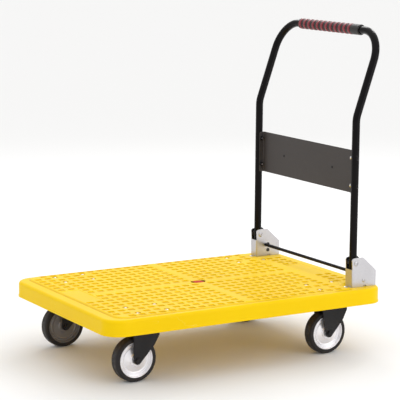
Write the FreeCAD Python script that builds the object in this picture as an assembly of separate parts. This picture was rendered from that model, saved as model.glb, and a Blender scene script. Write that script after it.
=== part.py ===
import FreeCAD, Part
import os
from math import asin, atan2, cos, degrees, hypot, pi, radians, sin, sqrt, tan

os.makedirs("parts", exist_ok=True)

# A folding platform cart. Millimetres, +Z up, floor at Z = 0, +X towards the handle end.
# Seen by someone pushing from behind the handle, "left" is -Y and "right" is +Y.

# ---- deck: an inverted tray with a raised load field ----
DECK_L, DECK_W = 900.0, 610.0
CORNER_R = 52.0
SKIRT_BOTTOM = 150.5
BORDER_TOP = 195.5
FIELD_TOP = 199.0
EDGE_R = 9.0
WALL = 4.0
DECK_FLOOR = 191.0          # underside of the deck's top sheet
RIB = 3.0
RIB_BOTTOM = 168.0
FIELD_END, FIELD_SIDE = 40.0, 21.0   # smooth border at the ends and at the sides
FIELD_NOTCH = 112.0         # length of the two rear corners left low for the brackets

# ---- handle ----
TUBE_R, TUBE_WALL = 11.1, 1.5
LEG_SPAN = 508.0            # between the centres of the two legs
LEG_FROM_REAR = 82.7
BEND_Z, BEND_R, LEAN = 683.6, 80.0, radians(19.1)
BAR_Z, BAR_CORNER_R = 926.0, 85.0
GRIP_R, GRIP_L = 16.0, 308.0
SLEEVE_R_OUT = 14.0
RINGS, RING_PITCH, RING_W = 12, 22.8, 11.4
RING_SHIFT = 18.0           # the bands sit nearer the right-hand end of the grip
TAIL = 30.0                 # leg and plug below the pivot

# ---- wheels and casters ----
WHEEL_R, WHEEL_W, RIM_R = 62.5, 34.0, 50.0
PLATE_TOP, PLATE_T = 160.0, 4.0
PLATE_L, PLATE_W = 115.0, 92.0
BOLT_X, BOLT_Y = 90.0, 70.0
CASTER_INSET = 87.0
SWIVEL_FROM_FRONT, TRAIL = 157.0, 38.0
RIGID_FROM_REAR = 151.0
FORK_HALF, FORK_T = 24.0, 3.0
CROWN_TOP, CROWN_T = 143.7, 4.0
AXLE_R, SLEEVE_R, BUSH_R = 4.0, 6.0, 11.0

# ---- bracket, pivot and foot latch ----
BRACKET_L, BRACKET_W, BRACKET_H, SHEET = 85.0, 34.0, 86.0, 3.0
WEB_H = 52.5
BRACKET_FROM_REAR = 97.2    # front face of the web
PIVOT_H = 70.1              # above the bracket's foot
PIN_R = 5.0
LATCH_DX, LATCH_H = 28.0, 19.0      # latch pin, from the pivot and from the bracket's foot
ROD_DX, ROD_DZ, ROD_R = 21.2, -34.6, 5.0   # cross rod, from the pivot
LATCH_PIN_R = 4.0
LATCH_SWING = 22.0

# ---- back panel ----
PANEL_Z, PANEL_H, PANEL_T, FLANGE = 464.8, 124.0, 1.5, 17.0
PANEL_BOLT_Z = (488.5, 568.9)
PANEL_RIVET_Y = 127.0

RUN = 0.06                  # radial running clearance
GAP = 0.3                   # between bodies that only pass each other

# The frame's origin is on the floor, midway between the deck's front edge and the grip's back.
bar_beyond = tan(LEAN) * (BAR_Z - BEND_Z) + GRIP_R - LEG_FROM_REAR
front_x = -(DECK_L + bar_beyond) / 2
rear_x = front_x + DECK_L
deck_x = (front_x + rear_x) / 2
tube_x = rear_x - LEG_FROM_REAR
web_x = rear_x - BRACKET_FROM_REAR
pivot_z = BORDER_TOP + PIVOT_H
latch_x, latch_z = tube_x + LATCH_DX, BORDER_TOP + LATCH_H
rod_x, rod_z = tube_x + ROD_DX, pivot_z + ROD_DZ
caster_y = DECK_W / 2 - CASTER_INSET
king_x = front_x + SWIVEL_FROM_FRONT
rigid_x = rear_x - RIGID_FROM_REAR
leg_y = LEG_SPAN / 2
SIDES = {"left": -1, "right": 1}


def V(x, y, z):
    return FreeCAD.Vector(x, y, z)


def box(x0, x1, y0, y1, z0, z1):
    return Part.makeBox(x1 - x0, y1 - y0, z1 - z0, V(x0, y0, z0))


def rod(r, length, at, axis):
    return Part.makeCylinder(r, length, at, axis)


def tube(r_out, r_in, length, at, axis):
    return rod(r_out, length, at, axis).cut(rod(r_in, length, at, axis))


def along_y(r, y0, y1, x, z):
    return rod(r, abs(y1 - y0), V(x, min(y0, y1), z), V(0, 1, 0))


def upright_edges(shape):
    """The straight vertical edges of a block."""
    found = []
    for edge in shape.Edges:
        ends = [v.Point for v in edge.Vertexes]
        if len(ends) == 2 and abs(ends[0].x - ends[1].x) + abs(ends[0].y - ends[1].y) < 1e-6:
            found.append(edge)
    return found


def level_edges(shape, z):
    return [e for e in shape.Edges if all(abs(v.Point.z - z) < 1e-6 for v in e.Vertexes)]


def rounded_block(x0, x1, y0, y1, z0, z1, r):
    block = box(x0, x1, y0, y1, z0, z1)
    return block.makeFillet(r, upright_edges(block))


def prism(points, depth, direction):
    """Extrude a closed outline of points."""
    wire = Part.makePolygon(points + [points[0]])
    return Part.Face(wire).extrude(direction * depth)


def joined(shapes):
    return shapes[0].multiFuse(shapes[1:]).removeSplitter()


def hexagon(across, height, at, axis_z=True):
    """A hexagon nut blank standing on `at`, along Z or along Y."""
    r = across / sqrt(3)
    pts = []
    for i in range(6):
        a = pi / 3 * i
        step = V(r * cos(a), r * sin(a), 0) if axis_z else V(r * cos(a), 0, r * sin(a))
        pts.append(at + step)
    return prism(pts, abs(height), V(0, 0, 1) if axis_z else V(0, 1 if height > 0 else -1, 0))


def dome(r, h, at, up):
    """A low round head, flat side on `at`, its crown towards `up`."""
    ball_r = (r * r + h * h) / (2 * h)
    half = asin(r / ball_r) / 2
    mid = V(ball_r * sin(half), 0, h - ball_r + ball_r * cos(half))
    face = Part.Face(Part.Wire([Part.makeLine(V(0, 0, 0), V(r, 0, 0)),
                                Part.Arc(V(r, 0, 0), mid, V(0, 0, h)).toShape(),
                                Part.makeLine(V(0, 0, h), V(0, 0, 0))]))
    head = face.revolve(V(0, 0, 0), V(0, 0, 1), 360)
    head.Placement = FreeCAD.Placement(at, FreeCAD.Rotation(V(0, 0, 1), up))
    return head


def revolved(profile, at, axis):
    """Turn an outline of (radius, length) points about an axis along Y through `at`."""
    pts = [at + V(0, y, 0) + V(radius, 0, 0) for radius, y in profile]
    return Part.Face(Part.makePolygon(pts + [pts[0]])).revolve(at, axis, 360)


def export(name, shapes):
    shape = shapes if isinstance(shapes, Part.Shape) else Part.makeCompound(shapes)
    shape.exportStep("parts/" + name + ".step")
    print(name, len(shape.Solids), "valid" if shape.isValid() else "INVALID")


# ---------------------------------------------------------------- deck

def caster_bolt_places():
    places = []
    for side in SIDES.values():
        for centre in (king_x, rigid_x):
            for dx in (-BOLT_X / 2, BOLT_X / 2):
                for dy in (-BOLT_Y / 2, BOLT_Y / 2):
                    places.append((centre + dx, side * caster_y + dy))
    return places


def bracket_bolt_places():
    return [(web_x + dx, side * leg_y) for side in SIDES.values() for dx in (31.0, 68.0)]


def make_field():
    """The raised load field, with its two rear corners left out for the brackets."""
    x0, x1 = front_x + FIELD_END, rear_x - FIELD_END
    y1 = DECK_W / 2 - FIELD_SIDE
    field = rounded_block(x0, x1, -y1, y1, DECK_FLOOR + 1, FIELD_TOP, 40)
    inner = leg_y - BRACKET_W / 2 - 12
    for side in SIDES.values():
        ys = sorted((side * inner, side * (y1 + 5)))
        corner = box(rear_x - FIELD_NOTCH, x1 + 5, ys[0], ys[1], DECK_FLOOR, FIELD_TOP + 1)
        field = field.cut(corner)
    return field


def make_ribs():
    half_x, half_y = DECK_L / 2 - WALL, DECK_W / 2 - WALL
    ribs = []
    for i in range(-3, 4):
        x = deck_x + i * 112.0
        ribs.append(box(x - RIB / 2, x + RIB / 2, -half_y, half_y, RIB_BOTTOM, DECK_FLOOR + 1))
    for i in range(-2, 3):
        y = i * 120.0
        ribs.append(box(deck_x - half_x, deck_x + half_x, y - RIB / 2, y + RIB / 2,
                        RIB_BOTTOM, DECK_FLOOR + 1))
    return ribs


def make_deck():
    half = DECK_W / 2
    outer = rounded_block(front_x, rear_x, -half, half, SKIRT_BOTTOM, BORDER_TOP, CORNER_R)
    outer = outer.makeFillet(EDGE_R, level_edges(outer, BORDER_TOP))
    hollow = rounded_block(front_x + WALL, rear_x - WALL, -half + WALL, half - WALL,
                           SKIRT_BOTTOM - 1, DECK_FLOOR, CORNER_R - WALL)
    solid = outer.cut(hollow)
    pads = []
    for side in SIDES.values():
        for x in (king_x, rigid_x):
            pads.append(rounded_block(x - PLATE_L / 2, x + PLATE_L / 2,
                                      side * caster_y - PLATE_W / 2, side * caster_y + PLATE_W / 2,
                                      PLATE_TOP, DECK_FLOOR + 1, 8))
        pads.append(rounded_block(web_x + 4, web_x + 90, side * leg_y - 24, side * leg_y + 24,
                                  172, DECK_FLOOR + 1, 8))
    solid = joined([solid, make_field()] + make_ribs() + pads)
    for x, y in caster_bolt_places():
        solid = solid.cut(rod(9.0, 10, V(x, y, BORDER_TOP), V(0, 0, 1)))
    for x, y in caster_bolt_places() + bracket_bolt_places():
        solid = solid.cut(rod(4.2, 60, V(x, y, 150), V(0, 0, 1)))
    for side in SIDES.values():
        solid = solid.cut(rod(7.0, 5, V(king_x, side * caster_y, PLATE_TOP - 1), V(0, 0, 1)))
    seat = make_oval(0.1, FIELD_TOP - 1.2)
    return solid.cut(seat)


def make_oval(extra, z):
    """An ellipse 46 x 30 mm lying on the deck's centre, 1 mm thick or a seat for it."""
    ellipse = Part.Ellipse(V(deck_x, 0, z), 23.0 + extra, 15.0 + extra).toShape()
    return Part.Face(Part.Wire(ellipse)).extrude(V(0, 0, 1.0 + 2 * extra))


# ---------------------------------------------------------------- brackets and pivots

def side_plate_outline(y):
    """A bracket cheek seen from the side: rounded front corner, chamfered rear corner."""
    z0, z1 = BORDER_TOP, BORDER_TOP + BRACKET_H
    r = 9.0
    corner = V(web_x + r, y, z1 - r)
    front_top = V(web_x + r, y, z1)
    front_low = V(web_x, y, z1 - r)
    mid = corner + V(-r * cos(pi / 4), 0, r * sin(pi / 4))
    rear = web_x + BRACKET_L
    edges = [
        Part.makeLine(V(web_x, y, z0), front_low),
        Part.Arc(front_low, mid, front_top).toShape(),
        Part.makeLine(front_top, V(web_x + 39.5, y, z1)),
        Part.makeLine(V(web_x + 39.5, y, z1), V(rear, y, z0 + 45)),
        Part.makeLine(V(rear, y, z0 + 45), V(rear, y, z0)),
        Part.makeLine(V(rear, y, z0), V(web_x, y, z0)),
    ]
    return Part.Face(Part.Wire(edges))


def rod_slot(y0, y1):
    """The arc that the cross rod sweeps in a bracket's inner cheek."""
    reach = hypot(rod_x - latch_x, rod_z - latch_z)
    rest = atan2(rod_z - latch_z, rod_x - latch_x)
    half = ROD_R + 0.6
    depth = y1 - y0
    ring = tube(reach + half, reach - half, depth, V(latch_x, y0, latch_z), V(0, 1, 0))
    first, last = rest + radians(2), rest - radians(LATCH_SWING + 2)
    far = 60.0
    wedge = prism([V(latch_x, y0, latch_z),
                   V(latch_x + far * cos(first), y0, latch_z + far * sin(first)),
                   V(latch_x + far * cos(last), y0, latch_z + far * sin(last))], depth, V(0, 1, 0))
    ends = [along_y(half, y0, y1, latch_x + reach * cos(a), latch_z + reach * sin(a))
            for a in (first, last)]
    return joined([ring.common(wedge)] + ends)


def make_bracket(side):
    """A steel channel, open to the back and the top, with a low front web."""
    cy = side * leg_y
    y0, y1 = cy - BRACKET_W / 2, cy + BRACKET_W / 2
    z0, z1 = BORDER_TOP, BORDER_TOP + BRACKET_H
    block = side_plate_outline(y0).extrude(V(0, BRACKET_W, 0))
    front = [e for e in upright_edges(block) if abs(e.Vertexes[0].Point.x - web_x) < 1e-6]
    block = block.makeFillet(SHEET, front)
    inner = rounded_block(web_x + SHEET, web_x + BRACKET_L + 30, y0 + SHEET, y1 - SHEET,
                          z0 + SHEET, z1 + 1, 1.0)
    above_web = box(web_x - 1, web_x + 30, y0 + SHEET, y1 - SHEET, z0 + WEB_H, z1 + 1)
    bracket = block.cut(inner).cut(above_web)
    bracket = bracket.cut(along_y(PIN_R, y0 - 1, y1 + 1, tube_x, pivot_z))
    bracket = bracket.cut(along_y(LATCH_PIN_R, y0 - 1, y1 + 1, latch_x, latch_z))
    notch = box(web_x + 40, web_x + 51, y0 - 1, y1 + 1, z0 - 1, z0 + 4)
    keep = box(web_x + 38, web_x + 53, y0 + SHEET, y1 - SHEET, z0 - 1, z0 + 5)
    bracket = bracket.cut(notch.cut(keep))
    cheek = cy - side * BRACKET_W / 2
    ys = sorted((cheek - side, cheek + side * (SHEET + 1)))
    bracket = bracket.cut(rod_slot(ys[0], ys[1]))
    for x, y in bracket_bolt_places():
        bracket = bracket.cut(rod(4.2, 10, V(x, y, z0 - 2), V(0, 0, 1)))
    return bracket


def make_pivot_pin(side):
    """A shouldered rivet through both cheeks and the handle leg."""
    cy = side * leg_y
    half = BRACKET_W / 2
    shank = along_y(PIN_R, cy - half, cy + half, tube_x, pivot_z)
    outer = dome(8.0, 3.2, V(tube_x, cy + side * half, pivot_z), V(0, side, 0))
    inner = dome(7.0, 2.4, V(tube_x, cy - side * half, pivot_z), V(0, -side, 0))
    return joined([shank, outer, inner])


def make_pivot_washers(side):
    cy = side * leg_y
    free = TUBE_R + GAP
    inside = BRACKET_W / 2 - SHEET
    rings = []
    for s in (-1, 1):
        near, far = sorted((cy + s * free, cy + s * inside))
        rings.append(tube(10.0, PIN_R + 0.05, far - near, V(tube_x, near, pivot_z), V(0, 1, 0)))
    return rings


def make_latch_pin(side):
    cy = side * leg_y
    half = BRACKET_W / 2
    shank = along_y(LATCH_PIN_R, cy - half, cy + half, latch_x, latch_z)
    heads = [dome(6.0, 1.8, V(latch_x, cy + s * half, latch_z), V(0, s, 0)) for s in (-1, 1)]
    return joined([shank] + heads)


def make_bracket_bolt(x, y):
    top = BORDER_TOP + SHEET
    head = dome(8.0, 4.0, V(x, y, top), V(0, 0, 1))
    return joined([head, rod(4.0, top - 161, V(x, y, 161), V(0, 0, 1))])


def make_nut(x, y, top, height, across=13.0, bore=4.0):
    nut = hexagon(across, height, V(x, y, top - height))
    washer = rod(across * 0.62, 1.6, V(x, y, top - 1.6), V(0, 0, 1))
    return joined([nut, washer]).cut(rod(bore + 0.05, height + 2, V(x, y, top - height - 1),
                                         V(0, 0, 1)))


# ---------------------------------------------------------------- latch

def make_latch_arm(side):
    """A flat lever from the latch pin up to the cross rod."""
    y_in = side * (leg_y - BRACKET_W / 2 + SHEET + 1.2)
    y_out = y_in + side * 4.0
    foot = along_y(8.0, y_in, y_out, latch_x, latch_z)
    eye = along_y(7.0, y_in, y_out, rod_x, rod_z)
    along = V(rod_x - latch_x, 0, rod_z - latch_z)
    across = V(-along.z, 0, along.x)
    across.normalize()
    y0 = min(y_in, y_out)
    a, b = V(latch_x, y0, latch_z), V(rod_x, y0, rod_z)
    bar = prism([a + across * 7.0, b + across * 6.5, b - across * 6.5, a - across * 7.0],
                4.0, V(0, 1, 0))
    arm = joined([foot, eye, bar])
    arm = arm.cut(along_y(LATCH_PIN_R + RUN, y_in - side, y_out + side, latch_x, latch_z))
    return arm.cut(along_y(ROD_R, y_in - side, y_out + side, rod_x, rod_z))


def make_latch_rod():
    reach = leg_y - BRACKET_W / 2 + SHEET + 1.2 + 4.0 + 1.0
    bar = along_y(ROD_R, -reach, reach, rod_x, rod_z)
    return bar.makeChamfer(0.8, [e for e in bar.Edges if e.Curve.TypeId == "Part::GeomCircle"])


def make_latch_spring(side):
    """A torsion coil round the latch pin, one leg up behind the arm and one leg back."""
    wire_r, coil_r, pitch, turns = 0.9, 5.6, 2.0, 4
    start = side * (leg_y - BRACKET_W / 2 + SHEET + 1.2 + 4.0 + 1.6)
    path = Part.makeHelix(pitch, pitch * turns, coil_r)
    ring = Part.Wire(Part.makeCircle(wire_r, V(coil_r, 0, 0), V(0, 1, 0)))
    coil = Part.Wire(path).makePipeShell([ring], True, True)
    coil.rotate(V(0, 0, 0), V(1, 0, 0), -90 * side)
    coil.translate(V(latch_x, start, latch_z))
    if not isinstance(coil, Part.Solid):
        coil = Part.Solid(coil.Shells[0]) if coil.Shells else coil
    leg = rod(wire_r, 13, V(latch_x + coil_r, start, latch_z), V(0, 0, 1))
    tail = rod(wire_r, 12, V(latch_x + coil_r, start + side * pitch * turns, latch_z), V(0.6, 0, -0.25))
    return joined([coil, leg, tail])


# ---------------------------------------------------------------- handle

def leaning(y, along):
    """A point on a leg's leaning part, `along` above the bend's corner."""
    return V(tube_x + sin(LEAN) * along, y, BEND_Z + cos(LEAN) * along)


def handle_path(bottom_z):
    """Centre line of the bent tube, from one foot over the bar to the other foot."""
    reach = (BAR_Z - BEND_Z) / cos(LEAN)
    cut = BEND_R * tan(LEAN / 2)
    middle = V(tube_x + BEND_R * (1 - cos(LEAN / 2)), 0, BEND_Z - cut + BEND_R * sin(LEAN / 2))
    straight = reach - BAR_CORNER_R
    diagonal = BAR_CORNER_R * sin(pi / 4)

    def leg(side):
        y = side * leg_y
        foot, low, high = V(tube_x, y, bottom_z), V(tube_x, y, BEND_Z - cut), leaning(y, cut)
        top = leaning(y, straight)
        over = leaning(side * (leg_y - BAR_CORNER_R), reach)
        knee = leaning(side * (leg_y - BAR_CORNER_R + diagonal), straight + diagonal)
        bend = Part.Arc(low, V(middle.x, y, middle.z), high).toShape()
        corner = Part.Arc(top, knee, over).toShape()
        return [Part.makeLine(foot, low), bend, Part.makeLine(high, top), corner], over

    first, over_a = leg(-1)
    second, over_b = leg(1)
    return Part.Wire(Part.__sortEdges__(first + [Part.makeLine(over_a, over_b)] + second))


def swept(path, r, foot):
    circle = Part.Wire(Part.makeCircle(r, foot, V(0, 0, 1)))
    return path.makePipeShell([circle], True, False)


def make_handle_tube():
    bottom = pivot_z - TAIL + 3
    foot = V(tube_x, -leg_y, bottom)
    path = handle_path(bottom)
    solid = swept(path, TUBE_R, foot).cut(swept(path, TUBE_R - TUBE_WALL, foot))
    for side in SIDES.values():
        y = side * leg_y
        solid = solid.cut(along_y(PIN_R + RUN, y - 20, y + 20, tube_x, pivot_z))
        for z in PANEL_BOLT_Z:
            solid = solid.cut(along_y(3.1, y - 20, y + 20, tube_x, z))
    return solid


def make_tube_plug(side):
    """The plastic plug that closes a leg's lower end."""
    y = side * leg_y
    bottom = pivot_z - TAIL
    cap = rod(TUBE_R, 2.9, V(tube_x, y, bottom), V(0, 0, 1))
    cap = cap.makeFillet(1.5, level_edges(cap, bottom))
    stem = rod(TUBE_R - TUBE_WALL - 0.1, 10, V(tube_x, y, bottom + 2.5), V(0, 0, 1))
    return joined([cap, stem])


def make_panel():
    """A pressed sheet flush with the legs' back, its two ends bent forward along them."""
    back = tube_x + TUBE_R
    half = leg_y - TUBE_R - 0.1
    z1 = PANEL_Z + PANEL_H
    outer = box(back - FLANGE, back, -half, half, PANEL_Z, z1)
    ends = [e for e in upright_edges(outer) if abs(e.Vertexes[0].Point.x - back) < 1e-6]
    outer = outer.makeFillet(3.0, ends)
    inner = box(back - FLANGE - 1, back - PANEL_T, -half + PANEL_T, half - PANEL_T,
                PANEL_Z - 1, z1 + 1)
    panel = outer.cut(inner)
    for side in SIDES.values():
        for z in PANEL_BOLT_Z:
            panel = panel.cut(along_y(3.1, side * (half - 8), side * (half + 3), tube_x, z))
        panel = panel.cut(rod(2.1, 10, V(back - 5, side * PANEL_RIVET_Y, PANEL_Z + PANEL_H / 2),
                              V(1, 0, 0)))
    return panel


def make_panel_bolt(side, z):
    outside = side * (leg_y + TUBE_R + 0.05)
    inside = side * (leg_y - TUBE_R - 0.1 - PANEL_T - 7.5)
    shank = along_y(3.0, outside, inside, tube_x, z)
    return joined([shank, dome(5.5, 3.2, V(tube_x, outside, z), V(0, side, 0))])


def make_panel_nut(side, z):
    face = side * (leg_y - TUBE_R - 0.1 - PANEL_T)
    nut = hexagon(10.0, -6.0 * side, V(tube_x, face, z), axis_z=False)
    return nut.cut(along_y(3.05, face + side, face - side * 8, tube_x, z))


def make_panel_rivet(side):
    back = tube_x + TUBE_R
    z = PANEL_Z + PANEL_H / 2
    at = V(back, side * PANEL_RIVET_Y, z)
    stem = rod(2.0, 3.0, at - V(PANEL_T + 1.0, 0, 0), V(1, 0, 0))
    tail = rod(3.2, 1.0, at - V(PANEL_T + 1.0, 0, 0), V(1, 0, 0))
    return joined([dome(4.5, 2.2, at, V(1, 0, 0)), stem.common(box(-2000, back, -2000, 2000, 0, 2000)),
                   tail])


def bar_centre():
    return leaning(0, (BAR_Z - BEND_Z) / cos(LEAN))


def ring_places():
    return [RING_SHIFT + (i - (RINGS - 1) / 2) * RING_PITCH for i in range(RINGS)]


def make_grip_sleeve():
    """A black rubber sleeve with a raised collar at each end."""
    c = bar_centre()
    half = GRIP_L / 2
    margin = RING_W / 2 + 1.5
    body = along_y(SLEEVE_R_OUT, -half, half, c.x, c.z)
    collars = [along_y(GRIP_R - 0.5, -half, ring_places()[0] - margin, c.x, c.z),
               along_y(GRIP_R - 0.5, ring_places()[-1] + margin, half, c.x, c.z)]
    return joined([body] + collars).cut(along_y(TUBE_R + 0.05, -half - 1, half + 1, c.x, c.z))


def make_grip_rings():
    """Red bands moulded round the sleeve, each a slightly domed ring."""
    c = bar_centre()
    r0, r1, r2 = SLEEVE_R_OUT + 0.05, GRIP_R - 0.8, GRIP_R
    rings = []
    for y in ring_places():
        a, b = y - RING_W / 2, y + RING_W / 2
        face = Part.Face(Part.Wire([
            Part.makeLine(V(c.x + r0, a, c.z), V(c.x + r1, a, c.z)),
            Part.Arc(V(c.x + r1, a, c.z), V(c.x + r2, y, c.z), V(c.x + r1, b, c.z)).toShape(),
            Part.makeLine(V(c.x + r1, b, c.z), V(c.x + r0, b, c.z)),
            Part.makeLine(V(c.x + r0, b, c.z), V(c.x + r0, a, c.z))]))
        rings.append(face.revolve(V(c.x, 0, c.z), V(0, 1, 0), 360))
    return rings


# ---------------------------------------------------------------- wheels and casters

def make_rim(x, y, out):
    """A pressed steel wheel centre: dished both sides, a raised ring, a hub and a rim band."""
    h = WHEEL_W / 2
    half = [(BUSH_R, 16.0), (17.0, 16.0), (19.0, 12.0), (36.0, 8.5), (38.5, 10.5), (41.0, 8.5),
            (45.0, 9.0), (47.5, h - 1.5), (RIM_R, h - 1.5)]
    profile = half + [(r, -l) for r, l in reversed(half)]
    return revolved(profile, V(x, y, WHEEL_R), V(0, out, 0))


def make_tyre(x, y):
    h = WHEEL_W / 2
    inner, outer, shoulder = RIM_R + 0.05, WHEEL_R, WHEEL_R - 6.0
    at = V(x, y, WHEEL_R)
    face = Part.Face(Part.Wire([
        Part.makeLine(at + V(inner, -h + 1.5, 0), at + V(shoulder, -h, 0)),
        Part.Arc(at + V(shoulder, -h, 0), at + V(outer - 1.6, -h + 2.2, 0),
                 at + V(outer, -h + 7, 0)).toShape(),
        Part.makeLine(at + V(outer, -h + 7, 0), at + V(outer, h - 7, 0)),
        Part.Arc(at + V(outer, h - 7, 0), at + V(outer - 1.6, h - 2.2, 0),
                 at + V(shoulder, h, 0)).toShape(),
        Part.makeLine(at + V(shoulder, h, 0), at + V(inner, h - 1.5, 0)),
        Part.makeLine(at + V(inner, h - 1.5, 0), at + V(inner, -h + 1.5, 0))]))
    return face.revolve(at, V(0, 1, 0), 360)


def make_bush(x, y):
    return tube(BUSH_R - 0.03, SLEEVE_R + RUN, 36.0, V(x, y - 18, WHEEL_R), V(0, 1, 0))


def make_sleeve(x, y):
    inside = FORK_HALF - FORK_T
    return tube(SLEEVE_R, AXLE_R + 0.05, 2 * inside, V(x, y - inside, WHEEL_R), V(0, 1, 0))


def make_axle_bolt(x, y, out):
    """Head outboard, thread end inboard."""
    head = hexagon(13.0, 5.0 * out, V(x, y + out * FORK_HALF, WHEEL_R), axis_z=False)
    shank = along_y(AXLE_R, y + out * FORK_HALF, y - out * (FORK_HALF + 9.5), x, WHEEL_R)
    return joined([head, shank])


def make_axle_nut(x, y, out):
    face = y - out * FORK_HALF
    nut = hexagon(13.0, -7.0 * out, V(x, face, WHEEL_R), axis_z=False)
    return nut.cut(along_y(AXLE_R + 0.05, face + out, face - out * 9, x, WHEEL_R))


def leg_plate(axle_x, y0, outline, end_r):
    """A fork leg: an outline of (dx, z) points above a round end on the axle."""
    pts = [V(axle_x + dx, y0, z) for dx, z in outline]
    leg = joined([prism(pts, FORK_T, V(0, 1, 0)), along_y(end_r, y0, y0 + FORK_T, axle_x, WHEEL_R)])
    return leg.cut(along_y(AXLE_R + 0.1, y0 - 1, y0 + FORK_T + 1, axle_x, WHEEL_R))


def fork_legs(axle_x, y, outline, end_r):
    return [leg_plate(axle_x, y0, outline, end_r)
            for y0 in (y - FORK_HALF, y + FORK_HALF - FORK_T)]


def make_swivel_plate(y):
    """The fixed half of a swivel head: a top plate with a pressed upper race."""
    plate = rounded_block(king_x - PLATE_L / 2, king_x + PLATE_L / 2, y - PLATE_W / 2,
                          y + PLATE_W / 2, PLATE_TOP - PLATE_T, PLATE_TOP, 8)
    race = rod(36.0, 6.0, V(king_x, y, PLATE_TOP - PLATE_T - 6), V(0, 0, 1))
    race = race.makeFillet(2.0, level_edges(race, PLATE_TOP - PLATE_T - 6))
    plate = joined([plate, race])
    for dx in (-BOLT_X / 2, BOLT_X / 2):
        for dy in (-BOLT_Y / 2, BOLT_Y / 2):
            plate = plate.cut(rod(4.2, 10, V(king_x + dx, y + dy, PLATE_TOP - 8), V(0, 0, 1)))
    return plate.cut(rod(5.0, 20, V(king_x, y, PLATE_TOP - 15), V(0, 0, 1)))


def make_swivel_balls():
    balls = []
    for side in SIDES.values():
        for i in range(10):
            a = 2 * pi * i / 10
            balls.append(Part.makeSphere(2.95, V(king_x + 26 * cos(a), side * caster_y + 26 * sin(a),
                                                 PLATE_TOP - PLATE_T - 6 - 2.95)))
    return balls


def make_swivel_fork(y):
    """The turning half: a dished crown under the race and two legs trailing to the front."""
    axle_x = king_x - TRAIL
    bottom = CROWN_TOP - CROWN_T
    crown = rounded_block(axle_x - 12, king_x + 30, y - FORK_HALF, y + FORK_HALF,
                          bottom, CROWN_TOP - 0.4, 3)
    disc = rod(32.0, CROWN_T, V(king_x, y, bottom), V(0, 0, 1))
    outline = [(-12, WHEEL_R), (-12, CROWN_TOP - 1), (TRAIL + 30, CROWN_TOP - 1),
               (TRAIL + 29, 127), (52, 101), (10.2, WHEEL_R - 6.3)]
    fork = joined([crown, disc] + fork_legs(axle_x, y, outline, 12))
    return fork.cut(rod(5.0 + RUN, 20, V(king_x, y, bottom - 5), V(0, 0, 1)))


def make_kingpin(y):
    """Countersunk head at the top plate, shank through race and crown."""
    shank = rod(5.0, 28.0, V(king_x, y, PLATE_TOP - 28), V(0, 0, 1))
    head = rod(6.5, 2.5, V(king_x, y, PLATE_TOP), V(0, 0, 1))
    return joined([shank, head])


def make_rigid_fork(y):
    """A rigid caster bracket: top plate and two tapered legs, axle under its middle."""
    plate = rounded_block(rigid_x - PLATE_L / 2, rigid_x + PLATE_L / 2, y - PLATE_W / 2,
                          y + PLATE_W / 2, PLATE_TOP - PLATE_T, PLATE_TOP, 8)
    outline = [(-13, WHEEL_R), (-24, 127), (-36, PLATE_TOP - 1), (66, PLATE_TOP - 1), (61, 127),
               (47, 98), (11, WHEEL_R - 7.5)]
    outline = [(min(max(dx, -PLATE_L / 2), PLATE_L / 2), z) for dx, z in outline]
    fork = joined([plate] + fork_legs(rigid_x, y, outline, 13))
    for dx in (-BOLT_X / 2, BOLT_X / 2):
        for dy in (-BOLT_Y / 2, BOLT_Y / 2):
            fork = fork.cut(rod(4.2, 10, V(rigid_x + dx, y + dy, PLATE_TOP - 8), V(0, 0, 1)))
    return fork


def make_caster_bolt(x, y):
    """A round head sunk just below the load field, thread down through deck and plate."""
    head = dome(7.5, 3.2, V(x, y, BORDER_TOP), V(0, 0, 1))
    return joined([head, rod(4.0, BORDER_TOP - 147, V(x, y, 147), V(0, 0, 1))])


# ---------------------------------------------------------------- the assembly

export("deck", make_deck())
export("badge", make_oval(0, FIELD_TOP - 1.1))
export("bracket_bolts", [make_bracket_bolt(x, y) for x, y in bracket_bolt_places()])
export("bracket_nuts", [make_nut(x, y, 172, 8) for x, y in bracket_bolt_places()])
export("pivot_pins", [make_pivot_pin(s) for s in SIDES.values()])
export("pivot_washers", [w for s in SIDES.values() for w in make_pivot_washers(s)])
export("latch_pins", [make_latch_pin(s) for s in SIDES.values()])
export("caster_bolts", [make_caster_bolt(x, y) for x, y in caster_bolt_places()])
export("caster_nuts", [make_nut(x, y, PLATE_TOP - PLATE_T, 7) for x, y in caster_bolt_places()])
export("swivel_balls", make_swivel_balls())
export("kingpins", [make_kingpin(s * caster_y) for s in SIDES.values()])
export("kingpin_nuts", [make_nut(king_x, s * caster_y, CROWN_TOP - CROWN_T - GAP, 7.2, 16, 5.0)
                        for s in SIDES.values()])
export("rear_axle_bolts", [make_axle_bolt(rigid_x, s * caster_y, s) for s in SIDES.values()])
export("rear_axle_nuts", [make_axle_nut(rigid_x, s * caster_y, s) for s in SIDES.values()])
export("rear_axle_sleeves", [make_sleeve(rigid_x, s * caster_y) for s in SIDES.values()])

export("handle_tube", make_handle_tube())
export("tube_plugs", [make_tube_plug(s) for s in SIDES.values()])
export("back_panel", make_panel())
export("panel_bolts", [make_panel_bolt(s, z) for s in SIDES.values() for z in PANEL_BOLT_Z])
export("panel_nuts", [make_panel_nut(s, z) for s in SIDES.values() for z in PANEL_BOLT_Z])
export("panel_rivets", [make_panel_rivet(s) for s in SIDES.values()])
export("grip_sleeve", make_grip_sleeve())
export("grip_rings", make_grip_rings())

export("latch_rod", make_latch_rod())
export("latch_springs", [make_latch_spring(s) for s in SIDES.values()])

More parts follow.
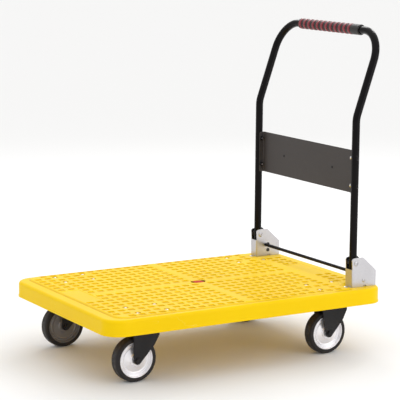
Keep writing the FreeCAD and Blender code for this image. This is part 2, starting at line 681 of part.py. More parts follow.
for name, s in SIDES.items():
    y = s * caster_y
    export("bracket_" + name, make_bracket(s))
    export("latch_arm_" + name, make_latch_arm(s))
    export("swivel_plate_" + name, make_swivel_plate(y))
    export("swivel_fork_" + name, make_swivel_fork(y))
    export("rigid_fork_" + name, make_rigid_fork(y))
    export("front_axle_bolt_" + name, make_axle_bolt(king_x - TRAIL, y, s))
    export("front_axle_nut_" + name, make_axle_nut(king_x - TRAIL, y, s))
    export("front_axle_sleeve_" + name, make_sleeve(king_x - TRAIL, y))
    for end, x in (("front", king_x - TRAIL), ("rear", rigid_x)):
        export(end + "_rim_" + name, make_rim(x, y, s))
        export(end + "_tyre_" + name, make_tyre(x, y))
        export(end + "_bush_" + name, make_bush(x, y))
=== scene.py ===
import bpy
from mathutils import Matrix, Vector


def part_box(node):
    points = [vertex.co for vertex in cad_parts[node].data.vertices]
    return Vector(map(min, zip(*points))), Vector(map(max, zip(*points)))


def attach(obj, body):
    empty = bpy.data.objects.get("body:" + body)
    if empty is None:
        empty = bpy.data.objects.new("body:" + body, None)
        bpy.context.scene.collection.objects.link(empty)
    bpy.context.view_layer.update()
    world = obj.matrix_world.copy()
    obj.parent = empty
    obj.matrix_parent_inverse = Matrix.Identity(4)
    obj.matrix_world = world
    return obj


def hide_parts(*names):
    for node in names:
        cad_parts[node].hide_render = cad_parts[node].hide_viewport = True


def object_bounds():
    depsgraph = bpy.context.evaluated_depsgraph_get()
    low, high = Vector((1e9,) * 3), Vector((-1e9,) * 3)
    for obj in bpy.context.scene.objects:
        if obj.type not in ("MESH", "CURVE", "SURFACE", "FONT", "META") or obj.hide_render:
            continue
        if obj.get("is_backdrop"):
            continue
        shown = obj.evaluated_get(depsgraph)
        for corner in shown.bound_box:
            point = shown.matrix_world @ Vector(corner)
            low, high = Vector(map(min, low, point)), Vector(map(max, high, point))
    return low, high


bl_info = {
    "name": "Folding platform cart",
    "version": (1, 0, 0),
    "blender": (4, 5, 0),
    "location": "3D View > Sidebar > Cart",
    "description": "Builds the finished surfaces of a folding platform cart round its frame",
    "category": "Object",
}

import math

import bmesh
import bpy
from mathutils import Euler, Quaternion, Vector

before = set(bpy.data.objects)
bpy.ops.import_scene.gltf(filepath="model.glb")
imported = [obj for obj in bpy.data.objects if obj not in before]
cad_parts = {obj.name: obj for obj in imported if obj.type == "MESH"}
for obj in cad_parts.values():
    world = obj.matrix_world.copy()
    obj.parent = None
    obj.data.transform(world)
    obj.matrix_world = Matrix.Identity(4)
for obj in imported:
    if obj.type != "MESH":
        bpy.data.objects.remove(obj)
cad_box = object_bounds()

MM = 0.001
SIDES = {"left": -1, "right": 1}
SELECT_MODES = {"faces": "FACE", "edges": "EDGE", "verts": "VERT"}


# ---------------------------------------------------------------- places taken from the frame

def corners(box):
    """The low and high corner of a box, as vectors."""
    return [Vector(corner) for corner in box]


def middle(node):
    low, high = corners(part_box(node))
    return (low + high) / 2


DECK_LOW, DECK_HIGH = corners(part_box("deck"))
DECK_MIDDLE = (DECK_LOW + DECK_HIGH) / 2
LEG_X = middle("pivot_pins").x
LEG_Y = middle("bracket_right").y
PIVOT_Z = middle("pivot_pins").z
LATCH = middle("latch_pins")
ROD = middle("latch_rod")
BAR = middle("grip_sleeve")
CASTERS = [middle(node + side) for node in ("swivel_plate_", "rigid_fork_") for side in SIDES]


# ---------------------------------------------------------------- sizes and colours

def length(name, description, millimetres, low=0.0):
    return bpy.props.FloatProperty(name=name, description=description, default=millimetres * MM,
                                   min=low * MM, precision=5, unit="LENGTH")


def colour(name, description, red, green, blue):
    return bpy.props.FloatVectorProperty(name=name, description=description, size=3, min=0, max=1,
                                         default=(red, green, blue), subtype="COLOR")


class DeckSizes(bpy.types.PropertyGroup):
    corner: length("Corner radius", "Radius of the deck's corners in plan", 52)
    rounding: length("Edge rounding", "Radius of the deck's top edge", 9)
    wall: length("Wall", "Thickness of the skirt", 4)
    lip: length("Lip height", "Height of the thicker line along the skirt's foot", 4.5)
    step: length("Field step", "Height of the load field above the border", 3.5)
    slope: length("Slope width", "Width of the slope between border and load field", 8)
    end_border: length("End border", "Flat border at each end, from the edge to the slope", 32)
    side_border: length("Side border", "Flat border at each side, from the edge to the slope", 13)
    first_column: length("First column", "First pocket from the deck's middle, lengthwise", 26.5)
    column_pitch: length("Column pitch", "Distance between pockets lengthwise", 30.85)
    columns: bpy.props.IntProperty(name="Columns", description="Pockets each way from the middle",
                                   default=13, min=1)
    first_row: length("First row", "First pocket from the deck's middle, crosswise", 28)
    row_pitch: length("Row pitch", "Distance between pockets crosswise", 30.6)
    rows: bpy.props.IntProperty(name="Rows", description="Pockets each way from the middle line",
                                default=9, min=1)
    pocket_length: length("Pocket length", "Size of a pocket along the deck", 20.5)
    pocket_width: length("Pocket width", "Size of a pocket across the deck", 18.5)
    pocket_depth: length("Pocket depth", "Depth of a pocket", 3.0)
    band: length("Centre band", "Width of the smooth bands that cross at the badge", 26)


class HandleSizes(bpy.types.PropertyGroup):
    tube: length("Tube radius", "Outer radius of the handle tube", 11.1)
    wall: length("Tube wall", "Thickness of the tube's wall", 1.5)
    bend_height: length("Bend height", "Height where the legs start to lean back", 683.6)
    bend: length("Leg bend radius", "Radius of the bend in each leg", 80)
    corner: length("Corner radius", "Radius of the corners between legs and bar", 85)
    bands: bpy.props.IntProperty(name="Grip bands", description="Red bands round the grip",
                                 default=12, min=1)
    band_pitch: length("Band pitch", "Distance between the grip's bands", 22.8)
    band_width: length("Band width", "Width of one band", 11.4)
    band_shift: length("Band shift", "How far the bands sit towards the right-hand end", 18)


class WheelSizes(bpy.types.PropertyGroup):
    radius: length("Wheel radius", "Outer radius of a tyre", 62.5)
    width: length("Wheel width", "Width of a tyre", 34)
    rim: length("Rim radius", "Outer radius of a wheel centre", 50)
    hub: length("Hub bore", "Radius of the hole for the bush", 11)


class FinishColours(bpy.types.PropertyGroup):
    deck: colour("Deck", "Moulded yellow plastic", 0.91, 0.61, 0.001)
    tube: colour("Tube", "Black gloss paint", 0.0045, 0.0038, 0.0042)
    fork: colour("Fork", "Black coating of the casters", 0.014, 0.013, 0.014)
    panel: colour("Panel", "Grey powder paint of the back panel", 0.052, 0.047, 0.049)
    zinc: colour("Zinc", "Bright zinc plating", 0.58, 0.57, 0.59)
    tyre: colour("Tyre", "Charcoal rubber", 0.022, 0.019, 0.019)
    band: colour("Grip band", "Red rubber bands", 0.22, 0.010, 0.022)
    sleeve: colour("Grip sleeve", "Black rubber of the grip", 0.013, 0.012, 0.012)
    badge: colour("Badge", "Red oval badge", 0.56, 0.028, 0.010)


# ---------------------------------------------------------------- modelling steps

def object_mode():
    if bpy.context.object and bpy.context.object.mode != "OBJECT":
        bpy.ops.object.mode_set(mode="OBJECT")


def begin():
    """Leave nothing selected, so that the next step acts on its own piece only."""
    object_mode()
    bpy.ops.object.select_all(action="DESELECT")


def take(piece):
    """Leave only this piece selected, and active."""
    begin()
    piece.select_set(True)
    bpy.context.view_layer.objects.active = piece


def settle():
    """Put a new primitive's place into its mesh."""
    bpy.ops.object.transform_apply(location=True, rotation=True, scale=True)


def edit():
    bpy.ops.object.mode_set(mode="EDIT")


def pick(kind, test):
    """Select the faces, edges or verts that pass the test."""
    bpy.ops.mesh.select_mode(type=SELECT_MODES[kind])
    bpy.ops.mesh.select_all(action="DESELECT")
    shape = bmesh.from_edit_mesh(bpy.context.object.data)
    for part in getattr(shape, kind):
        if test(part):
            part.select_set(True)
    bmesh.update_edit_mesh(bpy.context.object.data)


def pick_all():
    bpy.ops.mesh.select_all(action="SELECT")


def near(a, b, reach=1e-5):
    return abs(a - b) < reach


def block(low, high):
    begin()
    low, high = Vector(low), Vector(high)
    bpy.ops.mesh.primitive_cube_add(size=1, location=(low + high) / 2, scale=high - low)
    settle()
    edit()


def bar_along(axis, radius, start, end, sides=32):
    """A round bar along X, Y or Z between two points."""
    begin()
    start, end = Vector(start), Vector(end)
    turns = {"X": (0, math.pi / 2, 0), "Y": (math.pi / 2, 0, 0), "Z": (0, 0, 0)}
    bpy.ops.mesh.primitive_cylinder_add(vertices=sides, radius=radius, depth=(end - start).length,
                                        location=(start + end) / 2, rotation=turns[axis])
    settle()
    edit()


def trace(points, fill=True):
    """Draw an outline from one vertex, extruded from each point to the next."""
    begin()
    points = [Vector(point) for point in points]
    bpy.ops.mesh.primitive_plane_add(size=MM, location=points[0])
    settle()
    edit()
    bpy.ops.mesh.select_mode(type="VERT")
    pick_all()
    bpy.ops.mesh.merge(type="CENTER")
    for here, there in zip(points, points[1:]):
        bpy.ops.mesh.extrude_vertices_move(TRANSFORM_OT_translate={"value": there - here})
    pick_all()
    if fill:
        bpy.ops.mesh.edge_face_add()


def push(x=0.0, y=0.0, z=0.0):
    bpy.ops.mesh.extrude_region_move(TRANSFORM_OT_translate={"value": (x, y, z)})


def tidy_shell():
    pick_all()
    bpy.ops.mesh.remove_doubles(threshold=1e-6)
    bpy.ops.mesh.normals_make_consistent(inside=False)


def turn_profile(profile, centre, steps):
    """Turn an outline of (radius, distance along Y) pairs about a line along Y."""
    points = [Vector(centre) + Vector((radius, along, 0)) for radius, along in profile]
    trace(points + [points[0]], fill=False)
    bpy.ops.mesh.remove_doubles(threshold=1e-7)
    pick_all()
    bpy.ops.mesh.spin(steps=steps, angle=2 * math.pi, center=centre, axis=(0, 1, 0))
    tidy_shell()


def modifier(kind, **values):
    """Add a modifier, set it and apply it."""
    object_mode()
    bpy.ops.object.modifier_add(type=kind)
    added = bpy.context.object.modifiers[-1]
    for name, value in values.items():
        setattr(added, name, value)
    bpy.ops.object.modifier_apply(modifier=added.name)


def soften(width, segments=2, angle=32, clamp=False):
    modifier("BEVEL", width=width, segments=segments, limit_method="ANGLE",
             angle_limit=math.radians(angle), use_clamp_overlap=clamp)


def combine(piece, others, operation):
    """Join or cut a piece with other pieces, which are then removed."""
    for other in others:
        take(piece)
        modifier("BOOLEAN", object=other, operation=operation, solver="EXACT")
        bpy.data.objects.remove(other)
    take(piece)


def made():
    """The piece in hand, left ready to be combined with others."""
    object_mode()
    return bpy.context.object


def joined(pieces):
    """Several pieces as one object, shells kept apart."""
    begin()
    for piece in pieces:
        piece.select_set(True)
    bpy.context.view_layer.objects.active = pieces[0]
    bpy.ops.object.join()
    return bpy.context.object


def finish_piece(name, body, material, nodes, smooth=35):
    """Name the piece in hand, give it its finish and let it ride on its body."""
    object_mode()
    piece = bpy.context.object
    take(piece)
    settle()
    bpy.ops.object.shade_smooth_by_angle(angle=math.radians(smooth))
    modifier("WEIGHTED_NORMAL", weight=100, keep_sharp=True)
    piece.name = name
    piece.data.name = name
    piece.data.materials.clear()
    piece.data.materials.append(material)
    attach(piece, body)
    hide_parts(*nodes)
    return piece


# ---------------------------------------------------------------- finishes

def new_tree(name, inputs, outputs):
    """A shader node group with named sockets; inputs are (name, default) pairs."""
    tree = bpy.data.node_groups.new(name, "ShaderNodeTree")
    for label, value in inputs:
        kind = "NodeSocketColor" if isinstance(value, tuple) else "NodeSocketFloat"
        socket = tree.interface.new_socket(label, in_out="INPUT", socket_type=kind)
        socket.default_value = value
    for label, kind in outputs:
        tree.interface.new_socket(label, in_out="OUTPUT", socket_type=kind)
    return tree


class Wiring:
    """Short names for adding and joining nodes in one tree."""

    def __init__(self, tree):
        self.tree = tree

    def add(self, kind, settings=None, **inputs):
        node = self.tree.nodes.new(kind)
        for name, value in (settings or {}).items():
            setattr(node, name, value)
        for name, value in inputs.items():
            self.put(node.inputs[name.replace("_", " ")], value)
        return node

    def put(self, socket, value):
        if isinstance(value, bpy.types.NodeSocket):
            self.tree.links.new(value, socket)
        else:
            socket.default_value = value

    def place(self):
        return self.add("ShaderNodeTexCoord").outputs["Object"]

    def axis(self, vector, name):
        return self.add("ShaderNodeSeparateXYZ", None, Vector=vector).outputs[name]

    def maths(self, operation, first, second=0.0, third=0.0):
        node = self.add("ShaderNodeMath", {"operation": operation})
        for socket, value in zip(node.inputs, (first, second, third)):
            self.put(socket, value)
        return node.outputs[0]

    def blend(self, amount, first, second):
        node = self.add("ShaderNodeMix", {"data_type": "RGBA"})
        self.put(node.inputs[0], amount)
        self.put(node.inputs[6], first)
        self.put(node.inputs[7], second)
        return node.outputs[2]

    def spread(self, value, low, high, to_low=0.0, to_high=1.0):
        node = self.add("ShaderNodeMapRange", {"interpolation_type": "SMOOTHSTEP"})
        for socket, number in zip(node.inputs, (value, low, high, to_low, to_high)):
            self.put(socket, number)
        return node.outputs[0]

    def noise(self, place, scale, detail=2.0, roughness=0.5):
        node = self.add("ShaderNodeTexNoise", None, Vector=place, Scale=scale, Detail=detail,
                        Roughness=roughness)
        return node.outputs["Fac"]


def grain_group():
    """Fine moulding or paint texture: a normal and a small change of roughness."""
    tree = new_tree("cart grain", [("Scale", 400.0), ("Depth", 0.0001), ("Roughness", 0.4),
                                   ("Roughness Spread", 0.1)],
                    [("Normal", "NodeSocketVector"), ("Roughness", "NodeSocketFloat")])
    w = Wiring(tree)
    inlet = w.add("NodeGroupInput").outputs
    place = w.place()
    fine = w.noise(place, inlet["Scale"], 3.0, 0.55)
    broad = w.noise(place, 14.0, 4.0, 0.6)
    bump = w.add("ShaderNodeBump", None, Height=fine, Distance=inlet["Depth"], Strength=1.0)
    shift = w.maths("MULTIPLY", w.maths("SUBTRACT", broad, 0.5), inlet["Roughness Spread"])
    outlet = w.add("NodeGroupOutput")
    w.put(outlet.inputs["Normal"], bump.outputs["Normal"])
    w.put(outlet.inputs["Roughness"], w.maths("ADD", inlet["Roughness"], shift))
    return tree


def handling_group():
    """Uneven colour, and thin scuffs left by handling."""
    tree = new_tree("cart handling marks",
                    [("Colour", (0.5, 0.5, 0.5, 1)), ("Uneven Colour", (0.4, 0.4, 0.4, 1)),
                     ("Scuff Colour", (0.7, 0.7, 0.7, 1)), ("Patch Scale", 8.0),
                     ("Unevenness", 0.4), ("Scuffs", 0.2)],
                    [("Colour", "NodeSocketColor")])
    w = Wiring(tree)
    inlet = w.add("NodeGroupInput").outputs
    place = w.place()
    patch = w.spread(w.noise(place, inlet["Patch Scale"], 4.0, 0.6), 0.38, 0.66)
    uneven = w.blend(w.maths("MULTIPLY", patch, inlet["Unevenness"]), inlet["Colour"],
                     inlet["Uneven Colour"])
    turned = w.add("ShaderNodeMapping", None, Vector=place, Rotation=(0.3, 0.2, 0.9),
                   Scale=(1.0, 7.0, 3.0)).outputs[0]
    thread = w.maths("ABSOLUTE", w.maths("SUBTRACT", w.noise(turned, 9.0, 3.0, 0.45), 0.5))
    thin = w.spread(thread, 0.0, 0.006, 1.0, 0.0)
    where = w.spread(w.noise(place, 5.5, 2.0), 0.52, 0.66)
    mask = w.maths("MULTIPLY", w.maths("MULTIPLY", thin, where), inlet["Scuffs"])
    outlet = w.add("NodeGroupOutput")
    w.put(outlet.inputs["Colour"], w.blend(mask, uneven, inlet["Scuff Colour"]))
    return tree


def shared(name, build):
    """A node group that is made once and then used again."""
    return bpy.data.node_groups.get(name) or build()


def rgba(values, factor=1.0):
    return tuple(min(1.0, value * factor) for value in values) + (1.0,)


def finish(name, base, uneven, scuff, grain, metallic=0.0, patch=8.0, unevenness=0.4, scuffs=0.2,
           **shader):
    """A material with grain and handling marks; grain is (scale, depth, roughness, spread)."""
    material = bpy.data.materials.new(name)
    material.use_nodes = True
    material.diffuse_color = base
    w = Wiring(material.node_tree)
    surface = material.node_tree.nodes["Principled BSDF"]
    marks = w.add("ShaderNodeGroup", {"node_tree": shared("cart handling marks", handling_group)})
    for label, value in (("Colour", base), ("Uneven Colour", uneven), ("Scuff Colour", scuff),
                         ("Patch Scale", patch), ("Unevenness", unevenness), ("Scuffs", scuffs)):
        w.put(marks.inputs[label], value)
    skin = w.add("ShaderNodeGroup", {"node_tree": shared("cart grain", grain_group)})
    for label, value in zip(("Scale", "Depth", "Roughness", "Roughness Spread"), grain):
        w.put(skin.inputs[label], value)
    w.put(surface.inputs["Base Color"], marks.outputs["Colour"])
    w.put(surface.inputs["Roughness"], skin.outputs["Roughness"])
    w.put(surface.inputs["Normal"], skin.outputs["Normal"])
    w.put(surface.inputs["Metallic"], metallic)
    for label, value in shader.items():
        w.put(surface.inputs[label.replace("_", " ")], value)
    return material, w, surface


def tint(w, surface, amount, tone):
    """Blend a colour over what a surface already shows."""
    shown = surface.inputs["Base Color"]
    w.put(shown, w.blend(amount, shown.links[0].from_socket, tone))


def deck_plastic():
    """Moulded polyethylene: bright yellow, a soft gloss, and painted shade inside the pockets."""
    base = bpy.context.scene.cart_colours.deck
    material, w, surface = finish(
        "deck_plastic", rgba(base), (base[0] * 0.96, base[1] * 0.90, base[2] * 1.4, 1),
        (0.97, 0.80, 0.32, 1), (520.0, 0.00012, 0.36, 0.10), patch=5.0, unevenness=0.35,
        scuffs=0.16, Specular_IOR_Level=0.09)
    place = w.place()
    height = w.axis(place, "Z")
    field_top = DECK_HIGH.z
    # Painted shade: a deeper yellow over the low parts of the top, between the border and the load
    # field, pocket floors most of all.
    low = w.spread(height, field_top - 2.6 * MM, field_top - 0.6 * MM, 1.0, 0.0)
    above = w.spread(height, field_top - 3.45 * MM, field_top - 3.25 * MM)
    uneven = w.spread(w.noise(place, 30.0, 4.0), 0.35, 0.7, 0.45, 0.80)
    amount = w.maths("MULTIPLY", w.maths("MULTIPLY", low, above), uneven)
    tint(w, surface, amount, (0.66, 0.37, 0.008, 1))
    return material


def plain(name, label, uneven, scuff, grain, **more):
    """A finish in one of the cart's colours, with nothing but grain and handling marks."""
    base = getattr(bpy.context.scene.cart_colours, label)
    return finish(name, rgba(base), rgba(base, uneven), scuff + (1,), grain, **more)[0]


def badge_plastic():
    return plain("badge_plastic", "badge", 0.8, (0.8, 0.4, 0.3),
                 (700.0, 0.00004, 0.40, 0.08), patch=60.0, unevenness=0.5, scuffs=0.1,
                 Specular_IOR_Level=0.04)


def tube_paint():
    return plain("tube_paint", "tube", 2.2, (0.10, 0.095, 0.095),
                 (230.0, 0.00006, 0.17, 0.06), patch=7.0, unevenness=0.4, scuffs=0.25,
                 Specular_IOR_Level=0.10)


def part_painted(name, axis, start, bare_above):
    """Tube paint over zinc, bare on one side of a plane across the axis."""
    colours = bpy.context.scene.cart_colours
    material, w, surface = finish(
        name, rgba(colours.tube), rgba(colours.tube, 2.2), (0.10, 0.095, 0.095, 1),
        (900.0, 0.00004, 0.30, 0.10), patch=60.0, unevenness=0.4, scuffs=0.25,
        Specular_IOR_Level=0.20)
    place = w.place()
    along = w.axis(place, axis)
    ends = (0.0, 1.0) if bare_above else (1.0, 0.0)
    bare = w.spread(along, start - 0.2 * MM, start + 0.2 * MM, *ends)
    tint(w, surface, bare, rgba(colours.zinc, 1.3))
    w.put(surface.inputs["Metallic"], bare)
    return material


def bolt_heads_finish():
    return part_painted("bolt_heads_finish", "Y", 0.0, True)


def nuts_finish():
    return part_painted("nuts_finish", "Y", 0.0, False)


def rivets_finish():
    return part_painted("rivets_finish", "X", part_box("back_panel")[1][0] - 0.5 * MM, True)


def fork_coating():
    return plain("fork_coating", "fork", 1.7, (0.13, 0.125, 0.12),
                 (900.0, 0.00008, 0.38, 0.12), patch=20.0, unevenness=0.6, scuffs=0.3,
                 Specular_IOR_Level=0.20)


def panel_paint():
    return plain("panel_paint", "panel", 0.82, (0.18, 0.17, 0.17),
                 (1500.0, 0.00010, 0.46, 0.08), patch=4.0, unevenness=0.35, scuffs=0.3,
                 Specular_IOR_Level=0.25)


def zinc_plate(name="zinc_plate", roughness=0.40, factor=1.0, spangle=1.0):
    """Bright zinc with a faint crystal pattern and rolling lines."""
    base = bpy.context.scene.cart_colours.zinc
    material, w, surface = finish(
        name, rgba(base, factor), rgba(base, factor * 0.88), (0.9, 0.9, 0.88, 1),
        (1200.0, 0.00003 * spangle, roughness, 0.10), metallic=1.0, patch=22.0, unevenness=0.35,
        scuffs=0.15 * spangle)
    place = w.place()
    crystal = w.add("ShaderNodeTexVoronoi", {"feature": "F1"}, Vector=place, Scale=330.0)
    tone = w.add("ShaderNodeSeparateColor", None, Color=crystal.outputs["Color"]).outputs[0]
    lines = w.add("ShaderNodeMapping", None, Vector=place, Scale=(1.0, 1.0, 30.0)).outputs[0]
    rolled = w.spread(w.noise(lines, 60.0, 3.0), 0.35, 0.65, -0.03 * spangle, 0.03 * spangle)
    shade = w.spread(tone, 0.0, 1.0, 0.0, 0.20 * spangle)
    tint(w, surface, shade, rgba(base, factor * 0.78))
    skin = surface.inputs["Roughness"].links[0].from_socket
    gloss = w.maths("MULTIPLY", w.maths("SUBTRACT", tone, 0.5), 0.05 * spangle)
    w.put(surface.inputs["Roughness"], w.maths("ADD", w.maths("ADD", skin, gloss), rolled))
    return material


def wheel_zinc():
    """Bright outboard faces, and painted shade on the inboard ones: a dull dark grey with less
    metal.
    """
    material = zinc_plate("wheel_zinc", 0.26, 1.62, 0.10)
    w = Wiring(material.node_tree)
    surface = material.node_tree.nodes["Principled BSDF"]
    place = w.place()
    across = w.axis(place, "Y")
    edge = abs(CASTERS[0].y)
    # Painted shade: faces inboard of the wheel's middle get a dark grey and less metal in place of
    # the bright plate.
    outboard = w.spread(w.maths("ABSOLUTE", across), edge - 3 * MM, edge + 3 * MM)
    plate = surface.inputs["Base Color"].links[0].from_socket
    w.put(surface.inputs["Base Color"], w.blend(outboard, (0.20, 0.19, 0.195, 1), plate))
    w.put(surface.inputs["Metallic"], w.maths("MULTIPLY_ADD", outboard, 0.45, 0.25))
    return material


def tyre_rubber():
    """Dark rubber, dustier where it rolls."""
    base = bpy.context.scene.cart_colours.tyre
    material, w, surface = finish(
        "tyre_rubber", rgba(base), rgba(base, 1.5), (0.10, 0.095, 0.09, 1),
        (650.0, 0.00016, 0.56, 0.12), patch=24.0, unevenness=0.6, scuffs=0.4,
        Specular_IOR_Level=0.25)
    place = w.place()
    facing = w.add("ShaderNodeTexCoord").outputs["Normal"]
    side = w.maths("ABSOLUTE", w.axis(facing, "Y"))
    tread = w.spread(side, 0.10, 0.45, 1.0, 0.0)
    dust = w.spread(w.noise(place, 90.0, 5.0, 0.65), 0.42, 0.72, 0.05, 0.5)
    tint(w, surface, w.maths("MULTIPLY", tread, dust), (0.10, 0.095, 0.088, 1))
    return material


def band_rubber():
    return plain("band_rubber", "band", 0.72, (0.42, 0.10, 0.11),
                 (800.0, 0.00010, 0.42, 0.10), patch=40.0, unevenness=0.5, scuffs=0.2,
                 Specular_IOR_Level=0.5, Sheen_Weight=0.08)


def sleeve_rubber():
    return plain("sleeve_rubber", "sleeve", 1.8, (0.07, 0.065, 0.065),
                 (800.0, 0.00012, 0.50, 0.10), patch=30.0, unevenness=0.5, scuffs=0.2,
                 Specular_IOR_Level=0.45)


def plug_nylon():
    return finish("plug_nylon", (0.03, 0.029, 0.028, 1), (0.045, 0.043, 0.04, 1),
                  (0.12, 0.115, 0.11, 1), (700.0, 0.00008, 0.45, 0.10), patch=60.0)[0]


def bearing_steel():
    return finish("bearing_steel", (0.55, 0.54, 0.53, 1), (0.42, 0.41, 0.40, 1),
                  (0.75, 0.75, 0.74, 1), (1500.0, 0.00002, 0.22, 0.10), metallic=1.0, patch=80.0)[0]


def material_of(build):
    """The material that a function makes, made once."""
    return bpy.data.materials.get(build.__name__) or build()


# ---------------------------------------------------------------- deck

CASTER_BOLTS = [(caster.x + dx, caster.y + dy) for caster in CASTERS
                for dx in (-45 * MM, 45 * MM) for dy in (-35 * MM, 35 * MM)]
NOTCH_X, NOTCH_Y = DECK_HIGH.x - 108 * MM, LEG_Y - 25 * MM
RIB_BOTTOM, PAD_BOTTOM, BRACKET_PAD_BOTTOM, ROOF = 0.168, 0.160, 0.172, 0.191


def on_field(face):
    return face.normal.z > 0.99 and near(face.calc_center_median().z, DECK_HIGH.z)


def score(test, axis, places):
    """Cut the faces that pass the test along straight lines across the X or the Y axis."""
    normal = (1, 0, 0) if axis == "X" else (0, 1, 0)
    for place in places:
        pick("faces", test)
        point = (place, 0, 0) if axis == "X" else (0, place, 0)
        bpy.ops.mesh.bisect(plane_co=point, plane_no=normal)


def pocket_places(sizes):
    """Middles of the pockets, without those at the bolts, brackets and smooth end panels."""
    half_x, half_y = sizes.pocket_length / 2, sizes.pocket_width / 2
    end_panel = sizes.first_column + (sizes.columns - 2.5) * sizes.column_pitch
    places = []
    for column in range(sizes.columns):
        for row in range(sizes.rows):
            away_x = sizes.first_column + column * sizes.column_pitch
            away_y = sizes.first_row + row * sizes.row_pitch
            if away_x > end_panel and row < 2:
                continue
            for x in (DECK_MIDDLE.x - away_x, DECK_MIDDLE.x + away_x):
                for y in (-away_y, away_y):
                    bolt = any(abs(x - bx) < half_x + 10 * MM and abs(y - by) < half_y + 10 * MM
                               for bx, by in CASTER_BOLTS)
                    notch = x + half_x > NOTCH_X - 9 * MM and away_y + half_y > NOTCH_Y - 9 * MM
                    if not bolt and not notch:
                        places.append((x, y))
    return places


def shape_skirt(sizes):
    """The moulding's outside: rounded corners, a thicker lip and a rounded top edge."""
    rim = DECK_HIGH.z - sizes.step
    block(DECK_LOW, (DECK_HIGH.x, DECK_HIGH.y, rim))
    pick("edges", lambda e: near(e.verts[0].co.x, e.verts[1].co.x)
         and near(e.verts[0].co.y, e.verts[1].co.y))
    bpy.ops.mesh.bevel(offset=sizes.corner, segments=12, affect="EDGES")
    for height in (sizes.lip, sizes.lip + 1.2 * MM):
        pick_all()
        bpy.ops.mesh.bisect(plane_co=(0, 0, DECK_LOW.z + height), plane_no=(0, 0, 1))
    pick("verts", lambda v: v.co.z > DECK_LOW.z + sizes.lip + 0.6 * MM)
    spans = DECK_HIGH - DECK_LOW
    draft = 2 * 1.0 * MM
    bpy.ops.transform.resize(value=(1 - draft / spans.x, 1 - draft / spans.y, 1),
                             center_override=DECK_MIDDLE)
    pick("edges", lambda e: all(near(v.co.z, rim) for v in e.verts))
    bpy.ops.mesh.bevel(offset=sizes.rounding, segments=6, affect="EDGES")


def shape_field(sizes):
    """The load field: a sloped step up from the border, left low round the brackets."""
    rim = DECK_HIGH.z - sizes.step
    top = lambda f: f.normal.z > 0.99 and near(f.calc_center_median().z, rim)
    pick("faces", top)
    bpy.ops.mesh.inset(thickness=sizes.side_border - sizes.rounding - 1.0 * MM)
    more = sizes.end_border - sizes.side_border
    half = (DECK_HIGH.x - DECK_LOW.x) / 2 - sizes.corner
    for way in (-1, 1):
        pick("faces", lambda f: top(f) and len(f.verts) > 8)
        shape = bmesh.from_edit_mesh(bpy.context.object.data)
        inner = {v.index for f in shape.faces if f.select for v in f.verts}
        pick("verts", lambda v: v.index in inner and way * (v.co.x - DECK_MIDDLE.x) > half - 3 * MM)
        bpy.ops.transform.translate(value=(-way * more, 0, 0))
    field = lambda f: top(f) and abs(f.calc_center_median().x - DECK_MIDDLE.x) < 0.41 \
        and abs(f.calc_center_median().y) < DECK_HIGH.y - sizes.side_border + MM
    score(lambda f: field(f) and len(f.verts) > 8, "X", [NOTCH_X])
    score(lambda f: field(f) and f.calc_center_median().x > NOTCH_X - MM
          and len(f.verts) > 4 or field(f) and f.calc_center_median().x > NOTCH_X,
          "Y", [-NOTCH_Y, NOTCH_Y])
    corner = lambda m: m.x > NOTCH_X and abs(m.y) > NOTCH_Y
    pick("faces", lambda f: field(f) and not corner(f.calc_center_median())
         and f.calc_area() > 0.001)
    bpy.ops.mesh.inset(thickness=sizes.slope, depth=sizes.step)


def shape_top(sizes):
    """Pockets in rows and columns, smooth centre bands and a smooth panel at each end."""
    middle_x = DECK_MIDDLE.x
    end_panel = sizes.first_column + (sizes.columns - 2.5) * sizes.column_pitch
    half_panel = sizes.first_row + 1.5 * sizes.row_pitch
    half_band = sizes.band / 2
    columns = [way * (sizes.first_column + k * sizes.column_pitch)
               for k in range(sizes.columns) for way in (-1, 1)]
    rows = [way * (sizes.first_row + k * sizes.row_pitch)
            for k in range(sizes.rows) for way in (-1, 1)]
    half_x, half_y = sizes.pocket_length / 2, sizes.pocket_width / 2
    lines_x = [c + d for c in columns for d in (-half_x, half_x)]
    lines_x += [-end_panel, end_panel, -half_band, half_band]
    lines_y = [r + d for r in rows for d in (-half_y, half_y)]
    lines_y += [-half_panel, half_panel, -half_band, half_band]
    score(on_field, "X", [middle_x + line for line in sorted(lines_x)])
    score(on_field, "Y", sorted(lines_y))

    def place(face):
        spot = face.calc_center_median()
        return abs(spot.x - middle_x), abs(spot.y)

    pick("faces", lambda f: on_field(f) and place(f)[0] > end_panel and place(f)[1] < half_panel)
    bpy.ops.mesh.inset(thickness=1.6 * MM, depth=-1.0 * MM)
    pick("faces", lambda f: on_field(f) and place(f)[0] < end_panel
         and min(place(f)) < half_band)
    bpy.ops.mesh.inset(thickness=1.4 * MM, depth=0.8 * MM)
    pockets = {(round(x / MM), round(y / MM)) for x, y in pocket_places(sizes)}
    spots = lambda f: (round(f.calc_center_median().x / MM), round(f.calc_center_median().y / MM))
    pick("faces", lambda f: on_field(f) and spots(f) in pockets
         and f.calc_area() > 0.9 * sizes.pocket_length * sizes.pocket_width)
    bpy.ops.mesh.inset(thickness=1.3 * MM, depth=-sizes.pocket_depth, use_individual=True)
    low = DECK_HIGH.z - sizes.pocket_depth
    pick("edges", lambda e: abs(e.verts[0].co.z - e.verts[1].co.z) > sizes.pocket_depth - 0.1 * MM
         and min(v.co.z for v in e.verts) > low - 0.1 * MM
         and max(v.co.z for v in e.verts) < DECK_HIGH.z + 0.1 * MM)
    bpy.ops.mesh.bevel(offset=2.6 * MM, segments=2, affect="EDGES")


